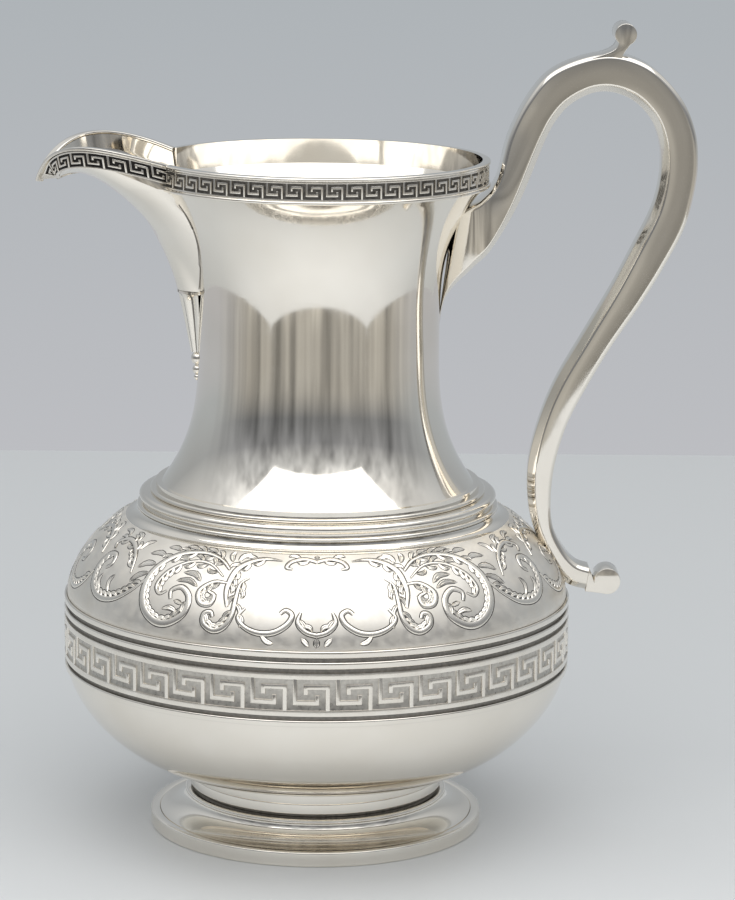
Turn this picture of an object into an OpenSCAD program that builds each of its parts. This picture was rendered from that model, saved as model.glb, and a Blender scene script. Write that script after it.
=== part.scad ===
// Silver ewer: a spun and soldered water jug with a lipped spout, a hollow scroll handle
// and die-rolled key-pattern bands round the belly and the rim.
// +Z is up and the origin is the centre of the foot's base. The spout points to -X, the handle to +X.

/* [Foot] */
// Outside radius of the foot's base edge
foot_r = 54.7; // [48:0.2:62]
// Height of the upright edge of the foot
foot_edge_h = 4.9; // [3:0.1:8]
// Width of the upright edge wire, across the base
foot_edge_w = 3.2; // [2:0.1:5]
// Height of the hollow curve above the edge
foot_cove_h = 5.5; // [4:0.1:9]
// Height of the bead on top of the hollow curve
foot_bead_h = 1.9; // [1.2:0.1:3]
// How far the bead stands out from the collar's neck
foot_bead_out = 3.2; // [2:0.1:4.5]
// Outside radius of the two collar rings between foot and bowl
foot_collar_r = 41.6; // [36:0.2:46]
// Height of the lower collar ring with its recessed neck
foot_lower_collar_h = 4.6; // [3:0.1:7]
// Height of the recessed neck under the lower collar ring
foot_recess_h = 1.3; // [0.8:0.1:2.2]
// Height of the upper collar ring
foot_upper_collar_h = 3.6; // [2.5:0.1:6]

/* [Body] */
// Outside radius of the body wall at the belly
belly_r = 82; // [74:0.5:92]
// Height of the bowl from its flat base to the girdle
bowl_h = 33.5; // [28:0.5:42]
// Radius of the flat under the bowl
bowl_base_r = 40; // [34:0.5:44]
// Height of the shoulder from the girdle to the collar
shoulder_h = 26; // [21:0.5:32]
// Thickness of the sheet silver
wall = 1; // [0.8:0.1:1.4]

/* [Girdle] */
// Height of the key band round the belly
belly_band_h = 13.7; // [10:0.1:18]
// Height of each plain rail along the belly band
belly_rail_h = 1.9; // [1:0.1:2.5]
// Number of keys round the belly
belly_keys = 39; // [30:1:46]
// Turn of the belly keys from the front, in degrees
belly_key_turn = 3.6; // [0:0.1:9]
// Height of each flat reed
reed_h = 2.1; // [1.5:0.1:3]
// Height of each groove beside a reed
groove_h = 1.4; // [1:0.1:2]
// How far reeds and raised keys stand out from the belly wall
belly_relief = 0.95; // [0.7:0.05:1.5]
// Thickness of the belly band behind its keys
belly_ground_t = 0.45; // [0.3:0.05:0.6]

/* [Collar] */
// How far the collar's foot on the shoulder stands out from the neck's base
collar_spread = 11.8; // [10:0.1:15]
// Height of the hollow curve between shoulder and collar
collar_cove_h = 2.7; // [2:0.1:4]
// Height of the bead above the hollow curve
collar_lower_bead_h = 1.7; // [1.2:0.1:2.5]
// Height of the groove under the roll
collar_groove_h = 0.9; // [0.6:0.1:1.5]
// Height of the roll
collar_roll_h = 2.8; // [2:0.1:4]
// How far the roll stands out from the neck's base
collar_roll_out = 7.4; // [5:0.1:9]
// Height of the upper bead
collar_upper_bead_h = 1.5; // [1:0.1:2.2]
// How far the upper bead stands out from the neck's base
collar_upper_bead_out = 3.8; // [2.5:0.1:5]
// Height of the groove between the upper bead and the neck
collar_top_groove_h = 1.7; // [1:0.1:2.5]

/* [Neck] */
// Outside radius at the neck's lower edge
neck_base_r = 51; // [44:0.2:60]
// Narrowest outside radius of the neck
neck_waist_r = 39.2; // [35:0.2:43]
// Outside radius where the neck's flare ends
neck_top_r = 53.4; // [50:0.2:57]
// Height of the neck from the collar to the rim
neck_h = 97.2; // [85:0.5:110]

/* [Rim] */
// Height of the wire under the rim band
rim_wire_h = 1.3; // [0.8:0.1:2]
// Height of the key band round the rim
rim_band_h = 6; // [4.5:0.1:8]
// Height of each plain rail along the rim band
rim_rail_h = 0.55; // [0.4:0.05:1]
// Number of keys round the rim, from one side of the spout to the other
rim_keys = 47; // [30:1:54]
// Height of the lip wire on top
rim_lip_h = 1.2; // [0.8:0.1:2]
// How far raised rim keys stand out from the neck wall
rim_relief = 1.2; // [0.9:0.05:1.6]
// Thickness of the rim band behind its keys
rim_ground_t = 0.7; // [0.5:0.05:0.8]
// How far the rim wires stand out from the neck wall
rim_wire_out = 1.7; // [1.3:0.05:2.2]

/* [Spout] */
// Half of the angle that the spout opens in the rim, in degrees
spout_half_angle = 26; // [18:0.5:34]
// Distance of the spout's tip from the jug's axis
spout_reach = 90; // [80:0.2:98]
// Drop of the tip below the rim
spout_tip_drop = 7.3; // [4:0.1:11]
// How far the edge runs back beside the tip
spout_tip_back = 4.8; // [2:0.1:7]
// Sideways run of the edge at the tip
spout_tip_half_w = 13; // [8:0.2:18]
// Rise of the edge beside the tip
spout_tip_rise = 15.5; // [10:0.1:18]
// Height of the edge's arch over the rim
spout_arch = 8.2; // [5:0.2:12]
// Sideways swell of the edge over its root
spout_swell = 12; // [4:0.2:15]
// Height of the spout's toe below the rim
spout_toe_depth = 42; // [36:0.2:50]
// Extra spread of the seam half way up the neck, in degrees
spout_seam_swell = 5; // [0:0.5:7]
// Half width of the toe where it meets the neck
spout_toe_half_w = 9.3; // [6:0.1:12]
// How far the toe stands out from the neck
spout_toe_out = 6.3; // [4:0.1:9]
// Height of the key band along the spout's edge
spout_band_h = 5.4; // [4:0.1:7]
// Number of keys along each side of the spout
spout_keys = 8; // [6:1:12]

/* [Drop] */
// Height of the tapering drop under the spout
drop_h = 20; // [14:0.5:26]
// Half width of the drop's lower end
drop_end_half_w = 1.9; // [1.4:0.1:3]
// How far the drop's lower end stands out from the neck
drop_end_out = 2.3; // [1.5:0.1:3.5]
// Radius of the largest bead below the drop
drop_bead_r = 2.3; // [1.6:0.1:3]

/* [Handle] */
// How far the handle reaches out past the belly wall
handle_overhang = 39.3; // [32:0.5:46]
// Height of the thumb scroll's top above the rim
handle_rise = 44.4; // [36:0.5:52]
// Width of the handle at its arch, side to side
handle_w = 15; // [12:0.5:18]
// Thickness of the handle's sheet silver
handle_wall = 1.1; // [0.8:0.1:1.4]
// Depth of the wide chamfer on the handle's inner side
handle_inner_chamfer = 2.4; // [2:0.1:3.4]
// Width of the wide chamfer on the handle's inner side
handle_inner_chamfer_w = 4; // [2:0.1:5]
// Size of the narrow chamfer on the handle's outer side
handle_outer_chamfer = 1; // [0.6:0.1:1.6]
// Radius of the thumb scroll's knob
thumb_knob_r = 3.5; // [2.8:0.1:4.4]
// Width of the thumb scroll
thumb_w = 10; // [7:0.5:12]
// Radius of the tail scroll's knob
tail_knob_r = 4.3; // [3.4:0.1:5]
// Width of the tail scroll
tail_w = 10.8; // [7:0.2:11]

/* [Hidden] */

$fn = 200;

polished = [0.86, 0.86, 0.85];
satin = [0.74, 0.74, 0.73];
oxidised = [0.6, 0.6, 0.59];

// Overrun of every cut past the surface that it opens
overrun = 1;
// Depth to which soldered pieces are drawn into a wall before the wall's own shape trims them
sink = 0.6;
// Solder film between the spout's sheet and its band
solder_gap = 0.15;
// Bevel on the edges of rings, wires and reeds
edge_bevel = 0.35;
// Step from a band's rails down to its keys
key_step = 0.1;

// Steps along a curved wall, along the spout and between two rows of the handle
curve_steps = 22;
spout_steps_round = 28;
spout_steps_up = 9;
handle_steps = 2;
drop_steps = 8;

// Levels, from the table upwards
foot_cove_z = foot_edge_h;
foot_bead_z = foot_cove_z + foot_cove_h;
foot_lower_collar_z = foot_bead_z + foot_bead_h;
foot_upper_collar_z = foot_lower_collar_z + foot_lower_collar_h;
bowl_z = foot_upper_collar_z + foot_upper_collar_h;
girdle_z = bowl_z + bowl_h;
belly_band_z = girdle_z + reed_h + groove_h;
seam_z = belly_band_z + belly_band_h / 2;
middle_reed_z = belly_band_z + belly_band_h + groove_h;
upper_reed_z = middle_reed_z + reed_h + groove_h;
shoulder_z = upper_reed_z + reed_h;
collar_z = shoulder_z + shoulder_h;
collar_roll_z = collar_z + collar_cove_h + collar_lower_bead_h;
collar_bead_z = collar_roll_z + collar_groove_h + collar_roll_h;
neck_z = collar_bead_z + collar_upper_bead_h + collar_top_groove_h;
neck_top_z = neck_z + neck_h;
rim_band_z = neck_top_z + rim_wire_h;
lip_z = rim_band_z + rim_band_h;
rim_z = lip_z + rim_lip_h;

// Radii that follow from the sizes above
foot_neck_r = foot_collar_r - foot_bead_out / 2;
foot_bead_r = foot_neck_r + foot_bead_out;
foot_ring_r = foot_neck_r - 2 * wall;
shoulder_top_r = neck_base_r + collar_spread;
collar_roll_r = neck_base_r + collar_roll_out;
collar_cove_r = collar_roll_r + edge_bevel;
collar_groove_r = collar_roll_r - collar_roll_h / 2;
collar_upper_bead_r = neck_base_r + collar_upper_bead_out;

// Bowl wall as a curve: shares of the run from the flat base out to the belly, and of the bowl's height
bowl_shares = [[0, 0], [0.5, 0], [0.96, 0.6], [1, 1]];
// Shoulder wall: end of the oval's quarter turn in degrees, and its fullness
shoulder_end = 63;
shoulder_power = 1.2;
// Neck wall: height of the waist as a share of the neck, and the powers of the two flares
neck_waist_share = 0.48;
neck_base_power = 3;
neck_top_power = 3.3;

// One hook of the key pattern: shares of the pitch from left to right, and of the field from its top down
hook_u_shares = [0, 0.11, 0.51, 0.62];
hook_v_shares = [0, 0.5, 0.67, 0.83];
// Middle of a pair of hooks, as a share of the pitch
hook_middle_share = 0.435;

function curve(p, t) =
    pow(1 - t, 3) * p[0] + 3 * pow(1 - t, 2) * t * p[1] + 3 * (1 - t) * t * t * p[2] + pow(t, 3) * p[3];
function mix(a, b, t) = a + (b - a) * t;
function unit(v) = v / norm(v);
function reversed(list) = [for (i = [len(list) - 1:-1:0]) list[i]];
function last(list) = list[len(list) - 1];

// Tangent of a drawn wall at one of its points
function wall_tangent(pts, i) = unit(pts[min(i + 1, len(pts) - 1)] - pts[max(i - 1, 0)]);
// The inner side of a wall that is drawn upwards along its outer side, with level ends
function inner_side(pts, t) = [
    for (i = [0:len(pts) - 1])
        let (
            d = wall_tangent(pts, i),
            p = pts[i] + t * [-d[1], d[0]],
            level = i == len(pts) - 1 && abs(d[1]) > abs(d[0]) / 4
        )
        level ? p + d * (pts[i][1] - p[1]) / d[1] : p
];
function sheet(pts, t) = concat(pts, reversed(inner_side(pts, t)));

// Outer sides of the walls
bowl_wall = concat(
    [[0, bowl_z]],
    [for (i = [0:curve_steps])
        let (s = curve(bowl_shares, i / curve_steps))
        [mix(bowl_base_r, belly_r, s[0]), bowl_z + s[1] * bowl_h]],
    [[belly_r, seam_z]]
);
shoulder_end_share = pow(cos(shoulder_end), shoulder_power);
shoulder_core_r = (shoulder_top_r - belly_r * shoulder_end_share) / (1 - shoulder_end_share);
shoulder_full_h = shoulder_h / pow(sin(shoulder_end), shoulder_power);
function shoulder_point(a) = [
    mix(shoulder_core_r, belly_r, pow(cos(a), shoulder_power)),
    shoulder_z + shoulder_full_h * pow(sin(a), shoulder_power)
];
shoulder_wall = concat(
    [[belly_r, seam_z]],
    [for (i = [0:curve_steps]) shoulder_point(shoulder_end * i / curve_steps)]
);
function shoulder_r_at(z) =
    let (s = max(0, min(1, (z - shoulder_z) / shoulder_full_h)))
    shoulder_point(asin(pow(s, 1 / shoulder_power)))[0];

neck_waist_z = neck_z + neck_waist_share * neck_h;
function neck_r_at(z) =
    z < neck_waist_z
    ? mix(neck_waist_r, neck_base_r, pow((neck_waist_z - z) / (neck_waist_z - neck_z), neck_base_power))
    : mix(neck_waist_r, neck_top_r, pow((z - neck_waist_z) / (neck_top_z - neck_waist_z), neck_top_power));
function neck_curve(z0, z1) = [
    for (i = [0:curve_steps]) let (z = mix(z0, z1, i / curve_steps)) [neck_r_at(z), z]
];
neck_wall = concat([[neck_base_r, collar_z]], neck_curve(neck_z, neck_top_z), [[neck_top_r, lip_z]]);

module ring(inner_r, outer_r, z, h, bevel = 0) {
    rotate_extrude()
        polygon([
            [inner_r, z], [outer_r - bevel, z], [outer_r, z + bevel],
            [outer_r, z + h - bevel], [outer_r - bevel, z + h], [inner_r, z + h]
        ]);
}

// Flat-backed wire with a half-round face, as a drawn outline
module half_round(inner_r, outer_r, z, h) {
    translate([inner_r, z]) square([outer_r - h / 2 - inner_r, h]);
    translate([outer_r - h / 2, z + h / 2]) circle(d = h);
}

module foot_rim() {
    color(polished) ring(foot_r - foot_edge_w, foot_r, 0, foot_edge_h, edge_bevel);
}

module foot_dome() {
    start_r = foot_r - foot_edge_w;
    run = start_r - foot_collar_r;
    color(polished)
        rotate_extrude()
            polygon(sheet(
                [for (i = [0:curve_steps])
                    let (a = 90 * i / curve_steps)
                    [start_r - run * sin(a), foot_bead_z - foot_cove_h * cos(a)]],
                wall
            ));
}

module foot_bead() {
    color(polished)
        rotate_extrude() half_round(foot_neck_r - wall, foot_bead_r, foot_bead_z, foot_bead_h);
}

module foot_collar_lower() {
    band_z = foot_lower_collar_z + foot_recess_h;
    color(polished)
        rotate_extrude()
            polygon([
                [foot_ring_r, foot_lower_collar_z], [foot_neck_r, foot_lower_collar_z],
                [foot_neck_r, band_z], [foot_collar_r - edge_bevel, band_z],
                [foot_collar_r, band_z + edge_bevel], [foot_collar_r, foot_upper_collar_z - edge_bevel],
                [foot_collar_r - edge_bevel, foot_upper_collar_z], [foot_ring_r, foot_upper_collar_z]
            ]);
}

module foot_collar_upper() {
    color(polished)
        ring(foot_ring_r, foot_collar_r + edge_bevel, foot_upper_collar_z, foot_upper_collar_h, edge_bevel);
}

module lower_bowl() {
    color(polished) rotate_extrude() polygon(sheet(bowl_wall, wall));
}

module shoulder_shell() {
    color(satin) rotate_extrude() polygon(sheet(shoulder_wall, wall));
}

module reed(z) {
    color(polished) ring(belly_r, belly_r + belly_relief, z, reed_h, edge_bevel);
}

module belly_lower_reed() { reed(girdle_z); }

module belly_middle_reed() { reed(middle_reed_z); }

module belly_upper_reed() { reed(upper_reed_z); }

// One hook: down from the upper rail, along the lower side and up again, as shares from its pair's middle.
// It runs on under the rail by a share of the field.
function hook_outline(under) =
    let (
        u = [for (share = hook_u_shares) share - hook_middle_share],
        v = [for (share = hook_v_shares) 0.5 - share],
        top = v[0] + under
    )
    [
        [u[0], top], [u[1], top], [u[1], v[2]], [u[2], v[2]],
        [u[2], v[1]], [u[3], v[1]], [u[3], v[3]], [u[0], v[3]]
    ];

module key_hook(pitch, field) {
    polygon([for (p = hook_outline(sink / field)) [p[0] * pitch, p[1] * field]]);
}

// Pairs of interlocking hooks in a row round a wall of radius r, drawn outwards through its face
module key_row(r, out, z, field, count, start, sweep) {
    pitch = r * sweep / count * PI / 180;
    for (i = [0:count - 1])
        rotate([0, 0, start + (i + 0.5) * sweep / count + 90])
            translate([0, overrun - r, z])
                rotate([90, 0, 0])
                    linear_extrude(out + overrun * 2) {
                        key_hook(pitch, field);
                        rotate(180) key_hook(pitch, field);
                    }
}

// Outline of a strip with a rail along both edges
module railed_strip(r, z, h, rail_h, ground_t, relief) {
    polygon([
        [r, z], [r + relief, z], [r + relief, z + rail_h], [r + ground_t, z + rail_h],
        [r + ground_t, z + h - rail_h], [r + relief, z + h - rail_h], [r + relief, z + h], [r, z + h]
    ]);
}

module key_band(r, z, h, rail_h, ground_t, relief, count, start, sweep) {
    rotate([0, 0, start]) rotate_extrude(angle = sweep) railed_strip(r, z, h, rail_h, ground_t, relief);
    intersection() {
        rotate([0, 0, start])
            rotate_extrude()
                translate([r + ground_t / 2, z + rail_h / 2])
                    square([relief - key_step - ground_t / 2, h - rail_h]);
        key_row(r, relief, z + h / 2, h - 2 * rail_h, count, start, sweep);
    }
}

module belly_key_band() {
    color(oxidised)
        key_band(belly_r, belly_band_z, belly_band_h, belly_rail_h, belly_ground_t, belly_relief,
            belly_keys, belly_key_turn - 90, 360);
}

module collar_cove() {
    bead_z = collar_z + collar_cove_h;
    run = shoulder_top_r - collar_cove_r;
    color(polished)
        rotate_extrude() {
            polygon(concat(
                [[neck_base_r, collar_z]],
                [for (i = [0:curve_steps])
                    let (a = 90 * i / curve_steps)
                    [shoulder_top_r - run * sin(a), bead_z - collar_cove_h * cos(a)]],
                [[neck_base_r, bead_z]]
            ));
            half_round(neck_base_r, collar_cove_r + edge_bevel, bead_z, collar_lower_bead_h);
        }
}

module collar_roll() {
    roll_z = collar_roll_z + collar_groove_h;
    color(polished)
        rotate_extrude() {
            translate([neck_base_r, collar_roll_z])
                square([collar_groove_r - neck_base_r, collar_groove_h + collar_roll_h / 2]);
            half_round(neck_base_r, collar_roll_r, roll_z, collar_roll_h);
        }
}

module collar_upper_bead() {
    bead_middle_z = collar_bead_z + collar_upper_bead_h / 2;
    color(polished)
        rotate_extrude() {
            translate([neck_base_r, bead_middle_z])
                square([collar_upper_bead_out / 2, neck_z - bead_middle_z]);
            half_round(neck_base_r, collar_upper_bead_r, collar_bead_z, collar_upper_bead_h);
        }
}

// Sector that the spout takes out of the rim, as a prism
module spout_sector(z0, z1) {
    far = spout_reach + handle_overhang;
    translate([0, 0, z0])
        linear_extrude(z1 - z0)
            polygon([
                [0, 0], far * [-cos(spout_half_angle), sin(spout_half_angle)],
                [-2 * far, 0], far * [-cos(spout_half_angle), -sin(spout_half_angle)]
            ]);
}

// Opening through the neck behind the spout, narrower than the spout's seam all round
module spout_opening() {
    margin = 2 * wall;
    low_z = toe_z + margin;
    low_w = spout_toe_half_w - margin;
    top_w = neck_r_at(spout_seam_z) * sin(spout_half_angle) - margin;
    spout_sector(spout_seam_z, lip_z + overrun);
    rotate([90, 0, -90])
        linear_extrude(neck_top_r + overrun)
            polygon([
                [-low_w, low_z], [low_w, low_z],
                [top_w, spout_seam_z + overrun], [-top_w, spout_seam_z + overrun]
            ]);
}

module neck_shell() {
    color(polished)
        difference() {
            rotate_extrude() polygon(sheet(neck_wall, wall));
            spout_opening();
        }
}

// Room of rim and neck beside the spout, above the spout's seam
module beside_spout() {
    rotate([0, 0, rim_start])
        rotate_extrude(angle = rim_sweep)
            translate([0, spout_seam_z])
                square([neck_top_r + rim_wire_out, neck_h]);
}

// Solid inside of the neck's outer face, to trim what is soldered on to it
module neck_core(z1) {
    rotate_extrude() polygon(concat([[0, neck_z]], neck_curve(neck_z, z1), [[0, z1]]));
}

// Round wire or strip that runs round the rim from one side of the spout to the other
rim_start = 180 + spout_half_angle;
rim_sweep = 360 - 2 * spout_half_angle;

module rim_lower_wire() {
    color(polished)
        rotate([0, 0, rim_start])
            rotate_extrude(angle = rim_sweep)
                half_round(neck_top_r, neck_top_r + rim_wire_out, neck_top_z, rim_wire_h);
}

module rim_key_band() {
    color(oxidised)
        key_band(neck_top_r, rim_band_z, rim_band_h, rim_rail_h, rim_ground_t, rim_relief,
            rim_keys, rim_start, rim_sweep);
}

module rim_lip_wire() {
    color(polished)
        rotate([0, 0, rim_start])
            rotate_extrude(angle = rim_sweep)
                half_round(neck_top_r - wall, neck_top_r + rim_wire_out, lip_z, rim_lip_h);
}

// Spout: a sheet between its seam on the neck and its free edge.
// e runs round it from -1 at one root over 0 at the tip to 1 at the other root, and s from seam to edge.
toe_z = lip_z - spout_toe_depth;
spout_seam_z = neck_top_z - spout_tip_drop / 2;
spout_root = [-neck_top_r * cos(spout_half_angle), neck_top_r * sin(spout_half_angle), lip_z];
spout_tip = [-spout_reach, 0, lip_z - spout_tip_drop];
spout_run = spout_reach + spout_root[0];
// Part of the seam that crosses the toe
spout_toe_share = 0.25;
// Lean of the wall over the toe, and of the beak behind the tip, as shares of the spout's run and depth
spout_toe_lean_share = 0.1;
spout_toe_rise_share = 0.38;
spout_beak_run_share = 0.43;
spout_beak_lift_share = 0.26;
// Reach of the edge's swell along its run
spout_swell_share = 0.57;
// How soon the wall beside the beak stands up, how far it drops at most, and its lean back
spout_side_power = 5;
spout_side_drop = 8;
spout_side_lean_share = 0.3;
// The sheet's upright edge that carries the band: its share of the sheet's rows, its way down at the tip and
// beside it, and how soon it turns from one to the other
spout_flange_share = 2 / 9;
flange_tip_way = [1, 0, 0.1];
flange_side_way = [0.15, 0, -1];
flange_power = 30;
// How far the wall swings out with the neck's flare, and how close to the roots it does so
spout_root_swing_share = 1;
spout_root_power = 8;
// Step over which the wall's slope is taken
slope_share = 0.02;
// Part of the edge, from the tip, that the band leaves free
band_tip_share = 0.07;
// Samples by which lengths along the edge are taken
edge_samples = 40;

function mirrored(p, side) = [p[0], p[1] * side, p[2]];
function spout_edge(e) =
    mirrored(
        curve([
            spout_tip,
            spout_tip + [spout_tip_back, spout_tip_half_w, spout_tip_rise],
            spout_root + [-spout_run * spout_swell_share, spout_swell, spout_arch],
            spout_root
        ], abs(e)),
        sign(e)
    );
toe_back_x = sqrt(pow(neck_r_at(toe_z), 2) - pow(spout_toe_half_w, 2)) - sink;
toe_front_x = neck_r_at(toe_z) + spout_toe_out;
toe_angle = atan(spout_toe_half_w / toe_back_x);
function spout_toe_point(a) =
    [-mix(toe_back_x, toe_front_x, cos(a)), spout_toe_half_w * sin(a), toe_z - sink];
function spout_seam_point(w) =
    let (
        z = mix(toe_z - sink, spout_seam_z, w),
        a = mix(toe_angle, spout_half_angle, w) + spout_seam_swell * sin(180 * w),
        r = neck_r_at(z) - sink
    )
    [-r * cos(a), r * sin(a), z];
function spout_seam(e) =
    mirrored(
        abs(e) < spout_toe_share
        ? spout_toe_point(90 * abs(e) / spout_toe_share)
        : spout_seam_point((abs(e) - spout_toe_share) / (1 - spout_toe_share)),
        sign(e)
    );
function flange_way(e) = unit(mix(flange_tip_way, flange_side_way, 1 - pow(1 - e * e, flange_power)));
function flange_point(down, e) = spout_edge(e) + flange_way(e) * spout_band_h * down;
function flange_normal(e) =
    unit(cross(
        -flange_way(e), spout_edge(min(e + slope_share, 1)) - spout_edge(max(e - slope_share, -1))
    ));
// Sheet below the upright edge
function under_point(s, e) =
    let (
        low = spout_seam(e),
        top = flange_point(1, e),
        third = (top - low) / 3,
        swing = 1 + spout_root_swing_share * pow(abs(e), spout_root_power),
        with_flare = [third[0] * swing, third[1] * swing, third[2]],
        over_toe = [-spout_run * spout_toe_lean_share, 0, spout_toe_depth * spout_toe_rise_share],
        behind_tip = [spout_run * spout_beak_run_share, 0, spout_toe_depth * spout_beak_lift_share],
        beside = min(third[2], spout_side_drop) * [spout_side_lean_share, 0, -1]
    )
    curve([
        low,
        low + mix(over_toe, with_flare, abs(e)),
        top + mix(behind_tip, beside, 1 - pow(1 - e * e, spout_side_power)),
        top
    ], s);
function spout_point(s, e) =
    let (up = (s - 1) / spout_flange_share + 1)
    up > 0 ? flange_point(1 - up, e) : under_point(s / (1 - spout_flange_share), e);
function spout_normal(s, e) =
    let (
        h = slope_share,
        up = spout_point(min(s + h, 1), e) - spout_point(max(s - h, 0), e),
        round = spout_point(s, min(e + h, 1)) - spout_point(s, max(e - h, -1))
    )
    unit(cross(up, round));
function spout_offset(s, e, out) = spout_point(s, e) + out * spout_normal(s, e);

// Triangles over a net of points with the given number of rows and columns
function net_faces(rows, columns, first) = [
    for (i = [0:rows - 2], j = [0:columns - 2])
        let (
            a = first + i * columns + j,
            b = a + 1,
            c = a + columns,
            d = c + 1
        )
        each [[a, c, b], [b, c, d]]
];
// Triangles between two open lines of points of the same length
function seam_faces(p, q) = [
    for (i = [0:len(p) - 2]) each [[p[i], q[i], p[i + 1]], [p[i + 1], q[i], q[i + 1]]]
];

// Sheet with two faces, from two nets of the same size
module net_sheet(outer, inner) {
    rows = len(outer);
    columns = len(outer[0]);
    count = rows * columns;
    start_row = [for (j = [0:columns - 1]) j];
    end_row = [for (j = [0:columns - 1]) (rows - 1) * columns + j];
    start_column = [for (i = [0:rows - 1]) i * columns];
    end_column = [for (i = [0:rows - 1]) i * columns + columns - 1];
    behind = function (list) [for (k = list) k + count];
    polyhedron(
        points = concat([for (row = outer) each row], [for (row = inner) each row]),
        faces = concat(
            net_faces(rows, columns, 0),
            [for (f = net_faces(rows, columns, count)) reversed(f)],
            seam_faces(behind(start_row), start_row),
            seam_faces(end_row, behind(end_row)),
            seam_faces(start_column, behind(start_column)),
            seam_faces(behind(end_column), end_column)
        )
    );
}

function spout_net(out) = [
    for (i = [0:spout_steps_round])
        let (e = 2 * i / spout_steps_round - 1)
        [for (j = [0:spout_steps_up]) spout_offset(j / spout_steps_up, e, out)]
];

module spout_shell() {
    color(polished)
        difference() {
            net_sheet(spout_net(0), spout_net(-wall));
            neck_core(spout_seam_z);
            beside_spout();
        }
}

// Lengths along the edge from the tip's side to the root, each with its place on the sheet
function edge_place(i) = mix(band_tip_share, 1, i / edge_samples);
edge_lengths = [
    for (
        i = 0, d = 0;
        i <= edge_samples;
        d = d + norm(spout_edge(edge_place(i + 1)) - spout_edge(edge_place(i))), i = i + 1
    )
        [d, edge_place(i)]
];
edge_length = last(edge_lengths)[0];
// Point on the band: along it from tip to root and down it from its upper side, both as shares
function band_point(along, down, out) =
    let (e = lookup(along * edge_length, edge_lengths))
    flange_point(down, e) + out * flange_normal(e);
// Outline of the band with a rail along both sides, from its lower side up: place down the band, and height
band_rail_share = rim_rail_h / spout_band_h;
band_bevel_share = edge_bevel / 2 / spout_band_h;
band_field_share = band_rail_share + band_bevel_share;
band_outline = [
    [1, rim_relief], [1 - band_rail_share, rim_relief], [1 - band_field_share, rim_ground_t],
    [band_field_share, rim_ground_t], [band_rail_share, rim_relief], [0, rim_relief]
];
function band_net(sunk) = [
    for (i = [0:spout_steps_round])
        [for (q = band_outline) band_point(i / spout_steps_round, q[0], sunk ? solder_gap : q[1])]
];

// One hook of the key pattern that follows the spout's sheet
hook_faces = [[0, 1, 2], [0, 2, 7], [2, 3, 6], [2, 6, 7], [3, 4, 5], [3, 5, 6]];

module spout_hook(place, turn, way) {
    field_share = 1 - 2 * band_rail_share;
    outline = hook_outline(band_rail_share / 2);
    count = len(outline);
    points = function (out) [
        for (p = outline)
            band_point(place + turn * way * p[0] / spout_keys, 0.5 - turn * p[1] * field_share, out)
    ];
    sides = [
        for (i = [0:count - 1])
            let (k = (i + 1) % count)
            each [[k, i, i + count], [k, i + count, k + count]]
    ];
    faces = concat(hook_faces, [for (f = hook_faces) reversed([for (k = f) k + count])], sides);
    polyhedron(
        points = concat(points(rim_relief), points(rim_ground_t / 2)),
        faces = [for (f = faces) way > 0 ? reversed(f) : f]
    );
}

// Way 1 sets the keys from tip to root, way -1 from root to tip
module spout_band(way) {
    color(oxidised)
        difference() {
            union() {
                net_sheet(band_net(false), band_net(true));
                for (i = [0:spout_keys - 1], turn = [-1, 1]) spout_hook((i + 0.5) / spout_keys, turn, way);
            }
            beside_spout();
        }
}

module spout_band_right() { spout_band(-1); }

module spout_band_left() { mirror([0, 1, 0]) spout_band(1); }

// Level way out from the spout's edge
function edge_out(e) =
    let (run = spout_edge(min(e + slope_share, 1)) - spout_edge(max(e - slope_share, -1)))
    unit([-run[1], run[0], 0]);
function lip_net(rise) = [
    for (i = [0:spout_steps_round])
        let (e = 2 * i / spout_steps_round - 1, foot = spout_edge(e) + [0, 0, rise])
        [foot - wall * edge_out(e), foot + rim_wire_out * edge_out(e)]
];

module spout_lip_wire() {
    color(polished)
        difference() {
            net_sheet(lip_net(rim_lip_h), lip_net(0));
            beside_spout();
        }
}

drop_z = toe_z - sink;

// Drop under the spout's toe: half-oval sections that taper downwards, by a power at the sides and in front
drop_side_power = 0.7;
drop_front_power = 0.8;

function drop_section(k) =
    let (
        z = drop_z - drop_h * k,
        side = mix(spout_toe_half_w, drop_end_half_w, pow(k, drop_side_power)),
        out = mix(spout_toe_out, drop_end_out, pow(k, drop_front_power)),
        back = neck_r_at(z) - wall
    )
    [for (j = [0:spout_steps_up])
        let (a = 180 * j / spout_steps_up - 90)
        [-back - (out + wall) * cos(a), side * sin(a), z]];

module spout_drop() {
    columns = spout_steps_up + 1;
    foot = drop_steps * columns;
    back = [for (i = [0:drop_steps]) [i * columns, i * columns + columns - 1]];
    color(polished)
        difference() {
            polyhedron(
                points = [for (i = [0:drop_steps]) each drop_section(i / drop_steps)],
                faces = concat(
                    net_faces(drop_steps + 1, columns, 0),
                    [for (i = [0:drop_steps - 1])
                        each [
                            [back[i][0], back[i][1], back[i + 1][0]],
                            [back[i + 1][0], back[i][1], back[i + 1][1]]
                        ]],
                    [for (j = [1:columns - 2]) [0, j, j + 1]],
                    [for (j = [1:columns - 2]) [foot, foot + j + 1, foot + j]]
                )
            );
            neck_core(spout_seam_z);
        }
}

// Beads in a row below the drop, each smaller than the one above: radius and depth as shares of the largest
bead_shares = [[1, 0.9], [0.75, 2.5], [0.5, 3.6]];

module spout_drop_beads() {
    color(polished)
        difference() {
            for (share = bead_shares)
                let (z = drop_z - drop_h - share[1] * drop_bead_r)
                translate([-neck_r_at(z), 0, z])
                    sphere(share[0] * drop_bead_r);
            neck_core(spout_seam_z);
        }
}

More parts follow.
